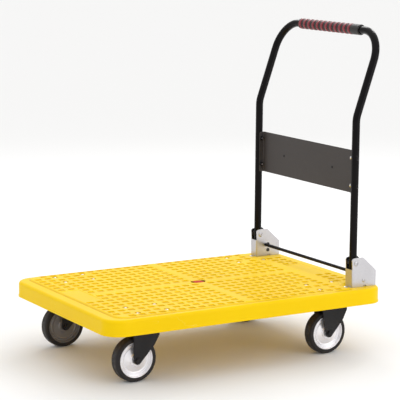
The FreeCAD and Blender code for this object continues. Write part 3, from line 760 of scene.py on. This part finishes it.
def shape_underside(sizes):
    """The hollow below: thin ribs both ways, solid pads for the casters and the brackets."""
    pick("faces", lambda f: f.normal.z < -0.99 and near(f.calc_center_median().z, DECK_LOW.z))
    bpy.ops.mesh.inset(thickness=sizes.wall)
    push(z=RIB_BOTTOM - DECK_LOW.z)
    roof = lambda f: f.normal.z < -0.99 and near(f.calc_center_median().z, RIB_BOTTOM)
    pads = [(caster.x - 57.5 * MM, caster.x + 57.5 * MM, caster.y - 46 * MM, caster.y + 46 * MM)
            for caster in CASTERS]
    seats = [(DECK_HIGH.x - 93 * MM, DECK_HIGH.x - 7 * MM, side * LEG_Y - 24 * MM,
              side * LEG_Y + 24 * MM) for side in SIDES.values()]
    ribs_x = [DECK_MIDDLE.x + i * 112 * MM for i in range(-3, 4)]
    ribs_y = [i * 120 * MM for i in range(-2, 3)]
    half = 1.5 * MM
    lines_x = [r + d for r in ribs_x for d in (-half, half)] + [p[i] for p in pads + seats[:1]
                                                                 for i in (0, 1)]
    lines_y = [r + d for r in ribs_y for d in (-half, half)] + [p[i] for p in pads + seats
                                                                 for i in (2, 3)]
    score(roof, "X", sorted(set(round(line, 6) for line in lines_x)))
    score(roof, "Y", sorted(set(round(line, 6) for line in lines_y)))

    def within(face, areas):
        spot = face.calc_center_median()
        return any(a < spot.x < b and c < spot.y < d for a, b, c, d in areas)

    def rib(face):
        spot = face.calc_center_median()
        return any(abs(spot.x - r) < half for r in ribs_x) \
            or any(abs(spot.y - r) < half for r in ribs_y)

    pick("faces", lambda f: roof(f) and not rib(f) and not within(f, pads + seats))
    push(z=ROOF - RIB_BOTTOM)
    pick("faces", lambda f: roof(f) and within(f, pads))
    push(z=PAD_BOTTOM - RIB_BOTTOM)
    pick("faces", lambda f: roof(f) and within(f, seats) and not rib(f))
    push(z=BRACKET_PAD_BOTTOM - RIB_BOTTOM)


def build_deck():
    sizes = bpy.context.scene.cart_deck
    shape_skirt(sizes)
    shape_field(sizes)
    shape_top(sizes)
    shape_underside(sizes)
    moulding = made()
    seat = DECK_HIGH.z - sizes.step
    bores = []
    for x, y in CASTER_BOLTS:
        bar_along("Z", 9 * MM, (x, y, seat), (x, y, seat + 10 * MM), 24)
        bores.append(made())
    bar_along("Z", 23.2 * MM, (DECK_MIDDLE.x, 0, DECK_HIGH.z - 1.2 * MM),
              (DECK_MIDDLE.x, 0, DECK_HIGH.z + 8 * MM), 64)
    pick_all()
    bpy.ops.transform.resize(value=(1, 15.2 / 23.2, 1), center_override=(DECK_MIDDLE.x, 0, 0.2))
    bores.append(made())
    cutter = joined(bores)
    combine(moulding, [cutter], "DIFFERENCE")
    soften(0.5 * MM, 2, 18)
    finish_piece("deck_moulding", "cart_deck", material_of(deck_plastic), ["deck"])


def build_badge():
    """A plain oval badge with a rounded rim and a low crown."""
    low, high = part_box("badge")
    bar_along("Z", (high[0] - low[0]) / 2, (DECK_MIDDLE.x, 0, low[2]),
              (DECK_MIDDLE.x, 0, high[2] - 0.4 * MM), 72)
    pick_all()
    bpy.ops.transform.resize(value=(1, (high[1] - low[1]) / (high[0] - low[0]), 1),
                             center_override=(DECK_MIDDLE.x, 0, low[2]))
    top = lambda f: f.normal.z > 0.99
    pick("faces", top)
    bpy.ops.mesh.inset(thickness=0.9 * MM, depth=0.5 * MM)
    pick("faces", top)
    bpy.ops.mesh.inset(thickness=1.0 * MM, depth=0)
    pick("faces", top)
    bpy.ops.mesh.inset(thickness=0.5 * MM, depth=-0.4 * MM)
    for rise in (0.35, 0.15):
        pick("faces", top)
        bpy.ops.mesh.inset(thickness=4.0 * MM, depth=rise * MM)
    soften(0.12 * MM, 2)
    finish_piece("badge_oval", "cart_deck", material_of(badge_plastic), ["badge"])


# ---------------------------------------------------------------- handle

def copied(piece, move):
    """A copy with its own mesh, moved to its place."""
    take(piece)
    bpy.ops.object.duplicate(linked=False)
    bpy.ops.transform.translate(value=move)
    settle()
    return bpy.context.object


def discard(piece):
    begin()
    bpy.data.objects.remove(piece)


def build_handle_tube():
    """One bent tube: each leg rises, leans back and turns over into the bar."""
    sizes = bpy.context.scene.cart_handle
    foot = Vector((LEG_X, -LEG_Y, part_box("handle_tube")[0][2]))
    lean = math.atan2(BAR.x - LEG_X, BAR.z - sizes.bend_height)
    along = Vector((math.sin(lean), 0, math.cos(lean)))
    cut = sizes.bend * math.tan(lean / 2)
    reach = (BAR.z - sizes.bend_height) / math.cos(lean)
    begin()
    bpy.ops.mesh.primitive_circle_add(vertices=48, radius=sizes.tube, location=foot)
    settle()
    edit()
    bpy.ops.mesh.select_mode(type="EDGE")
    pick_all()
    push(z=sizes.bend_height - cut - foot.z)
    bpy.ops.mesh.spin(steps=8, angle=lean, axis=(0, -1, 0),
                      center=(LEG_X + sizes.bend, -LEG_Y, sizes.bend_height - cut))
    push(*(along * (reach - cut - sizes.corner)))
    top = Vector((LEG_X, -LEG_Y, sizes.bend_height)) + along * (reach - sizes.corner)
    bpy.ops.mesh.spin(steps=16, angle=math.pi / 2, axis=(math.cos(lean), 0, -math.sin(lean)),
                      center=top + Vector((0, sizes.corner, 0)))
    push(y=LEG_Y - sizes.corner)
    tidy_shell()
    modifier("MIRROR", use_axis=(False, True, False), merge_threshold=1e-5)
    edit()
    tidy_shell()
    modifier("SOLIDIFY", thickness=sizes.wall, offset=-1)
    finish_piece("handle_frame", "handle", material_of(tube_paint), ["handle_tube"])


def build_back_panel():
    """A pressed sheet between the legs, its ends bent forward along them."""
    low, high = corners(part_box("back_panel"))
    trace([(low.x, low.y, low.z), (high.x, low.y, low.z), (high.x, high.y, low.z),
           (low.x, high.y, low.z)], fill=False)
    bpy.ops.mesh.select_mode(type="EDGE")
    pick_all()
    push(z=high.z - low.z)
    pick("edges", lambda e: all(near(v.co.x, high.x) for v in e.verts)
         and near(e.verts[0].co.y, e.verts[1].co.y))
    bpy.ops.mesh.bevel(offset=4.0 * MM, segments=5, affect="EDGES")
    pick("verts", lambda v: near(v.co.x, low.x))
    bpy.ops.mesh.bevel(offset=5.0 * MM, segments=4, affect="VERTICES")
    tidy_shell()
    pick("faces", lambda f: abs(f.normal.x) > 0.99)
    shape = bmesh.from_edit_mesh(bpy.context.object.data)
    if any(f.select and f.normal.x < 0 for f in shape.faces):
        pick_all()
        bpy.ops.mesh.flip_normals()
    modifier("SOLIDIFY", thickness=1.5 * MM, offset=-1)
    soften(0.35 * MM, 2, 40)
    finish_piece("panel_sheet", "handle", material_of(panel_paint), ["back_panel"])


def band_places(sizes):
    return [BAR.y + sizes.band_shift + (i - (sizes.bands - 1) / 2) * sizes.band_pitch
            for i in range(sizes.bands)]


def build_grip_sleeve():
    """A black rubber sleeve: a collar at each end, low ridges between the bands."""
    sizes = bpy.context.scene.cart_handle
    low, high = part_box("grip_sleeve")
    start, end = low[1] - BAR.y, high[1] - BAR.y
    bore, seat, collar = sizes.tube + 0.05 * MM, 14.0 * MM, 15.5 * MM
    places = [y - BAR.y for y in band_places(sizes)]
    margin = sizes.band_width / 2 + 1.2 * MM
    first, last = places[0] - margin, places[-1] + margin
    profile = [(bore, start), (collar - 2.2 * MM, start), (collar - 0.6 * MM, start + 0.6 * MM),
               (collar, start + 2.2 * MM), (collar, first - 2.0 * MM),
               (collar - 0.5 * MM, first - 0.5 * MM), (seat, first)]
    for here, there in zip(places, places[1:]):
        mid = (here + there) / 2
        half = (there - here - sizes.band_width) / 2
        for rise, share in ((0, -0.86), (0.75, -0.66), (1.1, -0.3), (1.1, 0.3), (0.75, 0.66),
                            (0, 0.86)):
            profile.append((seat + rise * MM, mid + half * share))
    profile += [(seat, last), (collar - 0.5 * MM, last + 0.5 * MM), (collar, last + 2.0 * MM),
                (collar, end - 2.2 * MM), (collar - 0.6 * MM, end - 0.6 * MM),
                (collar - 2.2 * MM, end), (bore, end)]
    turn_profile(profile, BAR, 56)
    finish_piece("grip_rubber", "handle", material_of(sleeve_rubber),
                 ["grip_sleeve"], 50)


def build_grip_bands():
    """Red domed bands moulded round the grip."""
    sizes = bpy.context.scene.cart_handle
    half = sizes.band_width / 2
    first = Vector((BAR.x, band_places(sizes)[0], BAR.z))
    profile = [(14.05 * MM, -half)]
    for i in range(9):
        turn = math.pi * i / 8
        profile.append(((14.9 + 1.1 * math.sin(turn)) * MM, -half * math.cos(turn)))
    profile.append((14.05 * MM, half))
    turn_profile(profile, first, 56)
    pick_all()
    for i in range(sizes.bands - 1):
        bpy.ops.mesh.duplicate_move(TRANSFORM_OT_translate={"value": (0, sizes.band_pitch, 0)})
    finish_piece("grip_bands", "handle", material_of(band_rubber), ["grip_rings"], 50)


# ---------------------------------------------------------------- brackets and pivots

BRACKET_HALF, BRACKET_WALL, WEB_TOP = 17 * MM, 3 * MM, 52.5 * MM


def shape_channel(low, high):
    """A bent steel channel, open to the back and the top, with a low web in front."""
    block(low, high)
    slope = Vector((0.0410, 0, high.x - low.x - 39.5 * MM)).normalized()
    pick_all()
    bpy.ops.mesh.bisect(plane_co=(high.x, 0, low.z + 45 * MM), plane_no=slope, clear_outer=True,
                        use_fill=True)
    pick("edges", lambda e: all(near(v.co.x, low.x) and near(v.co.z, high.z) for v in e.verts))
    bpy.ops.mesh.bevel(offset=9 * MM, segments=6, affect="EDGES")
    pick("edges", lambda e: all(near(v.co.x, low.x) for v in e.verts)
         and near(e.verts[0].co.y, e.verts[1].co.y))
    bpy.ops.mesh.bevel(offset=4.2 * MM, segments=4, affect="EDGES")
    pick("faces", lambda f: f.normal.x < -0.1)
    bpy.ops.mesh.bisect(plane_co=(0, 0, low.z + WEB_TOP), plane_no=(0, 0, 1))
    sheet = lambda f: abs(f.normal.y) > 0.99 or f.normal.z < -0.9 \
        or f.normal.x < -0.1 and f.calc_center_median().z < low.z + WEB_TOP - 0.5 * MM
    pick("faces", lambda f: not sheet(f))
    bpy.ops.mesh.delete(type="FACE")
    modifier("SOLIDIFY", thickness=BRACKET_WALL, offset=-1, use_even_offset=True)
    return made()


def blacken_inside(channel, low, high):
    """Painted shade: the channel's inner faces, the back of its web and its floor get the casters'
    black coating.
    """
    channel.data.materials.append(material_of(fork_coating))
    centre = (low.y + high.y) / 2
    for face in channel.data.polygons:
        inward = face.normal.y * (centre - face.center.y) > 0.002 and abs(face.normal.y) > 0.5
        back_of_web = face.normal.x > 0.8 and face.center.x < low.x + 6 * MM
        floor = face.normal.z > 0.8 and face.center.z < low.z + 5 * MM
        if inward or back_of_web or floor:
            face.material_index = 1


def slot_cutter(cheek, side):
    """The short arc that the foot bar sweeps through a bracket's inner cheek."""
    reach = math.hypot(ROD.x - LATCH.x, ROD.z - LATCH.z)
    rest = math.atan2(ROD.z - LATCH.z, ROD.x - LATCH.x)
    ends = []
    for turn in (2, -12, -24):
        angle = rest + math.radians(turn)
        x, z = LATCH.x + reach * math.cos(angle), LATCH.z + reach * math.sin(angle)
        bar_along("Y", 5.6 * MM, (x, cheek - side * MM, z), (x, cheek + side * 4 * MM, z), 24)
        ends.append(made())
    joined(ends)
    edit()
    pick_all()
    bpy.ops.mesh.convex_hull()
    return made()


def build_brackets():
    for name, side in SIDES.items():
        low, high = corners(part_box("bracket_" + name))
        channel = shape_channel(low, high)
        slot = slot_cutter(side * (LEG_Y - BRACKET_HALF), side)
        block((low.x + 40 * MM, low.y - MM, low.z - MM), (low.x + 51 * MM, low.y + 4 * MM,
                                                        low.z + 4.5 * MM))
        notch = made()
        block((low.x + 40 * MM, high.y - 4 * MM, low.z - MM), (low.x + 51 * MM, high.y + MM,
                                                             low.z + 4.5 * MM))
        other = made()
        combine(channel, [slot, notch, other], "DIFFERENCE")
        soften(0.15 * MM, 2, 40)
        bracket = finish_piece("bracket_channel_" + name, "cart_deck",
                               material_of(zinc_plate), ["bracket_" + name])
        # Painted shade inside the channel, in the casters' black coating.
        blacken_inside(bracket, low, high)


def rivet(centre, shank, heads):
    """A rivet along Y; its low and high heads are (end, radius, height, dimple)."""
    low, high = heads

    def head(way, end, radius, height, dimple):
        shape = [(shank, end), (radius, end), (radius, end + way * 0.3 * height),
                 (radius * 0.86, end + way * 0.75 * height), (radius * 0.62, end + way * height)]
        if dimple:
            shape += [(radius * 0.42, end + way * 0.96 * height),
                      (radius * 0.36, end + way * 0.25 * height), (0, end + way * 0.2 * height)]
        else:
            shape += [(0, end + way * 1.06 * height)]
        return shape

    profile = list(reversed(head(-1, *low))) + head(1, *high)
    trace([Vector(centre) + Vector((radius, along, 0)) for radius, along in profile], fill=False)
    pick_all()
    bpy.ops.mesh.spin(steps=36, angle=2 * math.pi, center=centre, axis=(0, 1, 0))
    tidy_shell()
    return made()


def build_rivets():
    """Pivot rivets with a dimple in each head; the latch pins' inner heads are dark caps."""
    half = BRACKET_HALF
    pivots = []
    latches = []
    caps = []
    for side in SIDES.values():
        heads = [(-half, 7.6 * MM, 2.6 * MM, True), (half, 7.6 * MM, 2.6 * MM, True)]
        pivots.append(rivet((LEG_X, side * LEG_Y, PIVOT_Z), 5.0 * MM, heads))
        outer = side * half
        heads = sorted([(outer, 6.0 * MM, 1.8 * MM, True), (-outer, 4.4 * MM, 0.5 * MM, False)])
        latches.append(rivet((LATCH.x, side * LEG_Y, LATCH.z), 4.0 * MM, heads))
        face = side * (LEG_Y - half)
        bar_along("Y", 5.4 * MM, (LATCH.x, face, LATCH.z),
                  (LATCH.x, face - side * 1.9 * MM, LATCH.z), 36)
        pick("faces", lambda f: f.normal.y * side < -0.99)
        bpy.ops.mesh.inset(thickness=1.3 * MM, depth=0.3 * MM)
        bpy.ops.mesh.inset(thickness=0.8 * MM, depth=-0.7 * MM)
        caps.append(made())
    joined(pivots)
    finish_piece("pivot_rivets", "cart_deck", material_of(zinc_plate), ["pivot_pins"], 40)
    joined(latches)
    finish_piece("latch_rivets", "cart_deck", material_of(zinc_plate), ["latch_pins"], 40)
    joined(caps)
    soften(0.3 * MM, 2)
    finish_piece("latch_caps", "cart_deck", material_of(plug_nylon), [], 40)


# ---------------------------------------------------------------- casters and wheels

FORK_LEGS = (-24 * MM, 21 * MM)


def hull_leg(axle, y, outline, end_radius):
    """A fork leg: the hull of a round end on the axle and a few points above it."""
    bar_along("Y", end_radius, (axle.x, y, axle.z), (axle.x, y + 3 * MM, axle.z), 40)
    end = made()
    trace([(axle.x + dx * MM, y, z * MM) for dx, z in outline])
    push(y=3 * MM)
    upper = made()
    joined([end, upper])
    edit()
    pick_all()
    bpy.ops.mesh.convex_hull()
    bpy.ops.mesh.dissolve_limited(angle_limit=math.radians(1))
    tidy_shell()
    return made()


def fork_plate(low, high, corner=8 * MM):
    block(low, high)
    pick("edges", lambda e: near(e.verts[0].co.x, e.verts[1].co.x)
         and near(e.verts[0].co.y, e.verts[1].co.y))
    bpy.ops.mesh.bevel(offset=corner, segments=6, affect="EDGES")
    return made()


def build_rigid_forks():
    """Fixed caster brackets: a bolted plate and two flared legs."""
    for name in SIDES:
        low, high = corners(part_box("rigid_fork_" + name))
        axle = middle("rear_tyre_" + name)
        plate = fork_plate((low.x, low.y, high.z - 4 * MM), high)
        legs = []
        for y in (axle.y + away for away in FORK_LEGS):
            legs.append(hull_leg(axle, y, [(-24, 127), (61, 127), (47, 98)], 13 * MM))
            edit()
            pick("faces", lambda f: f.normal.z > 0.99 and near(f.calc_center_median().z, 0.127))
            push(z=31.5 * MM)
            pick("verts", lambda v: v.co.z > 0.158 and v.co.x < axle.x)
            bpy.ops.transform.translate(value=(-12 * MM, 0, 0))
            pick("verts", lambda v: v.co.z > 0.158 and v.co.x > axle.x)
            bpy.ops.transform.translate(value=(-3.6 * MM, 0, 0))
            object_mode()
        combine(plate, legs, "UNION")
        soften(0.7 * MM, 3, 30)
        finish_piece("rigid_bracket_" + name, "cart_deck",
                     material_of(fork_coating), ["rigid_fork_" + name])


def build_swivel_heads():
    """Swivel plates with a pressed race, and the turning forks under them."""
    for name in SIDES:
        low, high = corners(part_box("swivel_plate_" + name))
        king = (low + high) / 2
        plate = fork_plate((low.x, low.y, high.z - 4 * MM), high)
        bar_along("Z", 36 * MM, (king.x, king.y, low.z), (king.x, king.y, high.z - 2 * MM), 64)
        pick("edges", lambda e: all(near(v.co.z, low.z) for v in e.verts))
        bpy.ops.mesh.bevel(offset=2.4 * MM, segments=4, affect="EDGES")
        race = made()
        combine(plate, [race], "UNION")
        soften(0.6 * MM, 3, 30)
        finish_piece("swivel_race_" + name, "cart_deck",
                     material_of(fork_coating), ["swivel_plate_" + name])

        axle = middle("front_tyre_" + name)
        low, high = corners(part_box("swivel_fork_" + name))
        crown_low = high.z - 4 * MM + 0.4 * MM
        crown = fork_plate((axle.x - 12 * MM, axle.y - 24 * MM, crown_low),
                           (king.x + 30 * MM, axle.y + 24 * MM, high.z), 3 * MM)
        bar_along("Z", 32 * MM, (king.x, king.y, crown_low - 0.2 * MM),
                  (king.x, king.y, high.z + 0.1 * MM), 64)
        parts = [made()]
        parts += [hull_leg(axle, y, [(-12, 142.6), (68, 142.6), (67, 127), (52, 101)], 12 * MM)
                  for y in (axle.y + away for away in FORK_LEGS)]
        combine(crown, parts, "UNION")
        soften(0.7 * MM, 3, 30)
        finish_piece("swivel_yoke_" + name, "swivel_" + name,
                     material_of(fork_coating), ["swivel_fork_" + name])


def build_wheels():
    """A pressed centre with a raised ring and rolled edge, and a rounded rubber tyre."""
    sizes = bpy.context.scene.cart_wheels
    first = middle("front_tyre_left")
    half, rim, tyre, hub = sizes.width / 2, sizes.rim, sizes.radius, sizes.hub
    face = [(hub, 15.6 * MM), (hub + 0.5 * MM, 16.1 * MM), (16.2 * MM, 16.1 * MM),
            (17.3 * MM, 15.4 * MM), (18.8 * MM, 12.6 * MM), (20.4 * MM, 11.8 * MM),
            (33.8 * MM, 8.6 * MM), (35.4 * MM, 8.7 * MM), (36.8 * MM, 10.3 * MM),
            (38.2 * MM, 10.9 * MM), (39.6 * MM, 10.3 * MM), (41.0 * MM, 8.6 * MM),
            (43.6 * MM, 8.3 * MM), (45.4 * MM, 9.2 * MM), (46.4 * MM, 11.4 * MM),
            (46.9 * MM, 14.2 * MM), (47.7 * MM, 15.6 * MM), (48.8 * MM, half - 0.9 * MM),
            (rim - 0.3 * MM, half - 1.1 * MM), (rim, half - 1.6 * MM)]
    profile = face + [(radius, -along) for radius, along in reversed(face)]
    turn_profile(profile, first, 80)
    centre = made()
    side = [(rim + 0.05 * MM, half - 1.5 * MM), (rim + 1.0 * MM, half - 0.5 * MM),
            (rim + 2.2 * MM, half), (rim + 3.4 * MM, half), (rim + 3.8 * MM, half - 0.5 * MM),
            (rim + 4.2 * MM, half), (tyre - 6.0 * MM, half), (tyre - 4.0 * MM, half - 0.7 * MM),
            (tyre - 2.1 * MM, half - 2.2 * MM), (tyre - 0.8 * MM, half - 4.4 * MM),
            (tyre - 0.15 * MM, half - 6.8 * MM), (tyre, half - 9.0 * MM), (tyre, 0.6 * MM),
            (tyre - 0.25 * MM, 0.3 * MM)]
    profile = side + [(radius, -along) for radius, along in reversed(side)]
    turn_profile(profile, first, 96)
    ring = made()
    for end in ("front", "rear"):
        for name in SIDES:
            move = middle(end + "_tyre_" + name) - first
            body = end + "_wheel_" + name
            copied(centre, move)
            finish_piece(end + "_wheel_centre_" + name, body, material_of(wheel_zinc),
                         [end + "_rim_" + name], 50)
            copied(ring, move)
            finish_piece(end + "_wheel_tyre_" + name, body,
                         material_of(tyre_rubber), [end + "_tyre_" + name], 50)
    discard(centre)
    discard(ring)


# ---------------------------------------------------------------- small parts kept from the frame

KEPT = {
    "zinc_plate": ["bracket_bolts", "bracket_nuts", "pivot_washers", "caster_bolts",
                   "caster_nuts", "kingpins", "kingpin_nuts", "latch_springs", "latch_arm_left",
                   "latch_arm_right"],
    "bolt_heads_finish": ["panel_bolts"],
    "nuts_finish": ["panel_nuts"],
    "rivets_finish": ["panel_rivets"],
    "fork_coating": ["rear_axle_bolts", "front_axle_bolt_left", "front_axle_bolt_right",
                     "rear_axle_nuts", "front_axle_nut_left", "front_axle_nut_right"],
    "bearing_steel": ["swivel_balls", "rear_axle_sleeves", "front_axle_sleeve_left",
                      "front_axle_sleeve_right", "front_bush_left", "front_bush_right",
                      "rear_bush_left", "rear_bush_right"],
    "tube_paint": ["latch_rod"],
    "plug_nylon": ["tube_plugs"],
}


def finish_small_parts():
    """Give the bolts, nuts, pins, bearings and foot latch their finishes."""
    makers = (zinc_plate, bolt_heads_finish, nuts_finish, rivets_finish, fork_coating,
              bearing_steel, tube_paint, plug_nylon)
    for maker in makers:
        nodes = KEPT[maker.__name__]
        material = material_of(maker)
        for node in nodes:
            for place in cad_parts[node].material_slots:
                place.material = material


# ---------------------------------------------------------------- stage

def area_light(name, place, aim, size, power):
    begin()
    bpy.ops.object.light_add(type="AREA", location=place)
    light = bpy.context.object
    light.name = name
    light.data.shape = "DISK"
    light.data.size = size
    light.data.energy = power
    light.rotation_euler = (Vector(aim) - Vector(place)).to_track_quat("-Z", "Y").to_euler()


FLOOR_SIZE = 60


def build_stage():
    """A pale floor, soft studio light and the camera."""
    begin()
    bpy.ops.mesh.primitive_plane_add(size=FLOOR_SIZE, location=(0, 0, 0))
    floor = bpy.context.object
    floor.name = "studio_floor"
    material = bpy.data.materials.new("studio_floor")
    material.use_nodes = True
    surface = material.node_tree.nodes["Principled BSDF"]
    surface.inputs["Base Color"].default_value = (0.86, 0.86, 0.86, 1)
    surface.inputs["Roughness"].default_value = 0.9
    surface.inputs["Specular IOR Level"].default_value = 0.1
    floor.data.materials.append(material)
    floor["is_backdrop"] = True

    world = bpy.data.worlds.new("studio")
    bpy.context.scene.world = world
    world.use_nodes = True
    sky = Wiring(world.node_tree)
    ground = world.node_tree.nodes["Background"]
    ground.inputs["Color"].default_value = (1.0, 0.997, 0.99, 1)
    way = sky.add("ShaderNodeTexCoord").outputs["Generated"]
    height = sky.axis(way, "Z")
    rise = sky.maths("MAXIMUM", height, 0.0)
    sky.put(ground.inputs["Strength"], sky.maths("MULTIPLY_ADD", rise, 0.70, 0.62))

    area_light("overhead", (1.4, 2.4, 2.6), (0.3, 0, 0.6), 1.3, 22)
    area_light("front", (1.9, -3.6, 1.3), (0, 0, 0.3), 2.6, 24)
    area_light("rear", (2.4, 1.2, 2.6), (0.3, 0, 0.6), 0.7, 14)

    bpy.ops.object.camera_add(location=(-2.4815, -4.1486, 1.2619))
    camera = bpy.context.object
    camera.name = "camera"
    turn = Euler((math.radians(90 - 9.66), 0, math.radians(-30.84))).to_quaternion()
    camera.rotation_mode = "QUATERNION"
    camera.rotation_quaternion = turn @ Quaternion((0, 0, 1), math.radians(0.5))
    camera.data.sensor_width = 36
    camera.data.lens = 153
    camera.data.clip_start, camera.data.clip_end = 0.1, 100
    bpy.context.scene.camera = camera
    bpy.context.scene.view_settings.view_transform = "Standard"


# ---------------------------------------------------------------- operators and panel

class CART_OT_deck(bpy.types.Operator):
    """Mould the deck with its pockets, bolt seats and ribs"""
    bl_idname = "cart.deck"
    bl_label = "Deck"

    def execute(self, context):
        build_deck()
        return {"FINISHED"}


class CART_OT_badge(bpy.types.Operator):
    """Set the plain oval badge into the deck"""
    bl_idname = "cart.badge"
    bl_label = "Badge"

    def execute(self, context):
        build_badge()
        return {"FINISHED"}


class CART_OT_handle(bpy.types.Operator):
    """Bend the handle tube"""
    bl_idname = "cart.handle"
    bl_label = "Handle tube"

    def execute(self, context):
        build_handle_tube()
        return {"FINISHED"}


class CART_OT_panel_sheet(bpy.types.Operator):
    """Fold the back panel between the legs"""
    bl_idname = "cart.panel_sheet"
    bl_label = "Back panel"

    def execute(self, context):
        build_back_panel()
        return {"FINISHED"}


class CART_OT_grip(bpy.types.Operator):
    """Mould the grip and its red bands"""
    bl_idname = "cart.grip"
    bl_label = "Grip"

    def execute(self, context):
        build_grip_sleeve()
        build_grip_bands()
        return {"FINISHED"}


class CART_OT_brackets(bpy.types.Operator):
    """Bend the two zinc brackets and set their rivets"""
    bl_idname = "cart.brackets"
    bl_label = "Brackets and rivets"

    def execute(self, context):
        build_brackets()
        build_rivets()
        return {"FINISHED"}


class CART_OT_casters(bpy.types.Operator):
    """Form the fixed and swivelling caster forks"""
    bl_idname = "cart.casters"
    bl_label = "Caster forks"

    def execute(self, context):
        build_rigid_forks()
        build_swivel_heads()
        return {"FINISHED"}


class CART_OT_wheels(bpy.types.Operator):
    """Turn the four wheel centres and tyres"""
    bl_idname = "cart.wheels"
    bl_label = "Wheels"

    def execute(self, context):
        build_wheels()
        return {"FINISHED"}


class CART_OT_small_parts(bpy.types.Operator):
    """Finish the bolts, nuts, bearings and foot latch kept from the frame"""
    bl_idname = "cart.small_parts"
    bl_label = "Small parts"

    def execute(self, context):
        finish_small_parts()
        return {"FINISHED"}


class CART_OT_stage(bpy.types.Operator):
    """Set up the floor, the lights and the camera"""
    bl_idname = "cart.stage"
    bl_label = "Stage"

    def execute(self, context):
        build_stage()
        return {"FINISHED"}


OPERATORS = (CART_OT_deck, CART_OT_badge, CART_OT_handle, CART_OT_panel_sheet, CART_OT_grip,
             CART_OT_brackets, CART_OT_casters, CART_OT_wheels, CART_OT_small_parts, CART_OT_stage)
SETTINGS = {"cart_deck": DeckSizes, "cart_handle": HandleSizes, "cart_wheels": WheelSizes,
            "cart_colours": FinishColours}


class CART_PT_sidebar(bpy.types.Panel):
    """Sizes, colours and building steps of the cart"""
    bl_idname = "CART_PT_sidebar"
    bl_label = "Folding platform cart"
    bl_space_type = "VIEW_3D"
    bl_region_type = "UI"
    bl_category = "Cart"

    def draw(self, context):
        for operator in OPERATORS:
            self.layout.operator(operator.bl_idname)
        for name, group in SETTINGS.items():
            box = self.layout.box()
            for field in group.__annotations__:
                box.prop(getattr(context.scene, name), field)


def register():
    for group in SETTINGS.values():
        bpy.utils.register_class(group)
    for name, group in SETTINGS.items():
        setattr(bpy.types.Scene, name, bpy.props.PointerProperty(type=group))
    for item in OPERATORS + (CART_PT_sidebar,):
        bpy.utils.register_class(item)


def unregister():
    for item in OPERATORS + (CART_PT_sidebar,):
        bpy.utils.unregister_class(item)
    for name in SETTINGS:
        delattr(bpy.types.Scene, name)
    for group in SETTINGS.values():
        bpy.utils.unregister_class(group)


def main():
    register()
    for operator in OPERATORS:
        group, action = operator.bl_idname.split(".")
        getattr(getattr(bpy.ops, group), action)()
    object_mode()
    boxes = {"cad": [list(corner) for corner in cad_box],
             "visual": [list(corner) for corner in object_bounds()]}


if __name__ == "__main__":
    main()
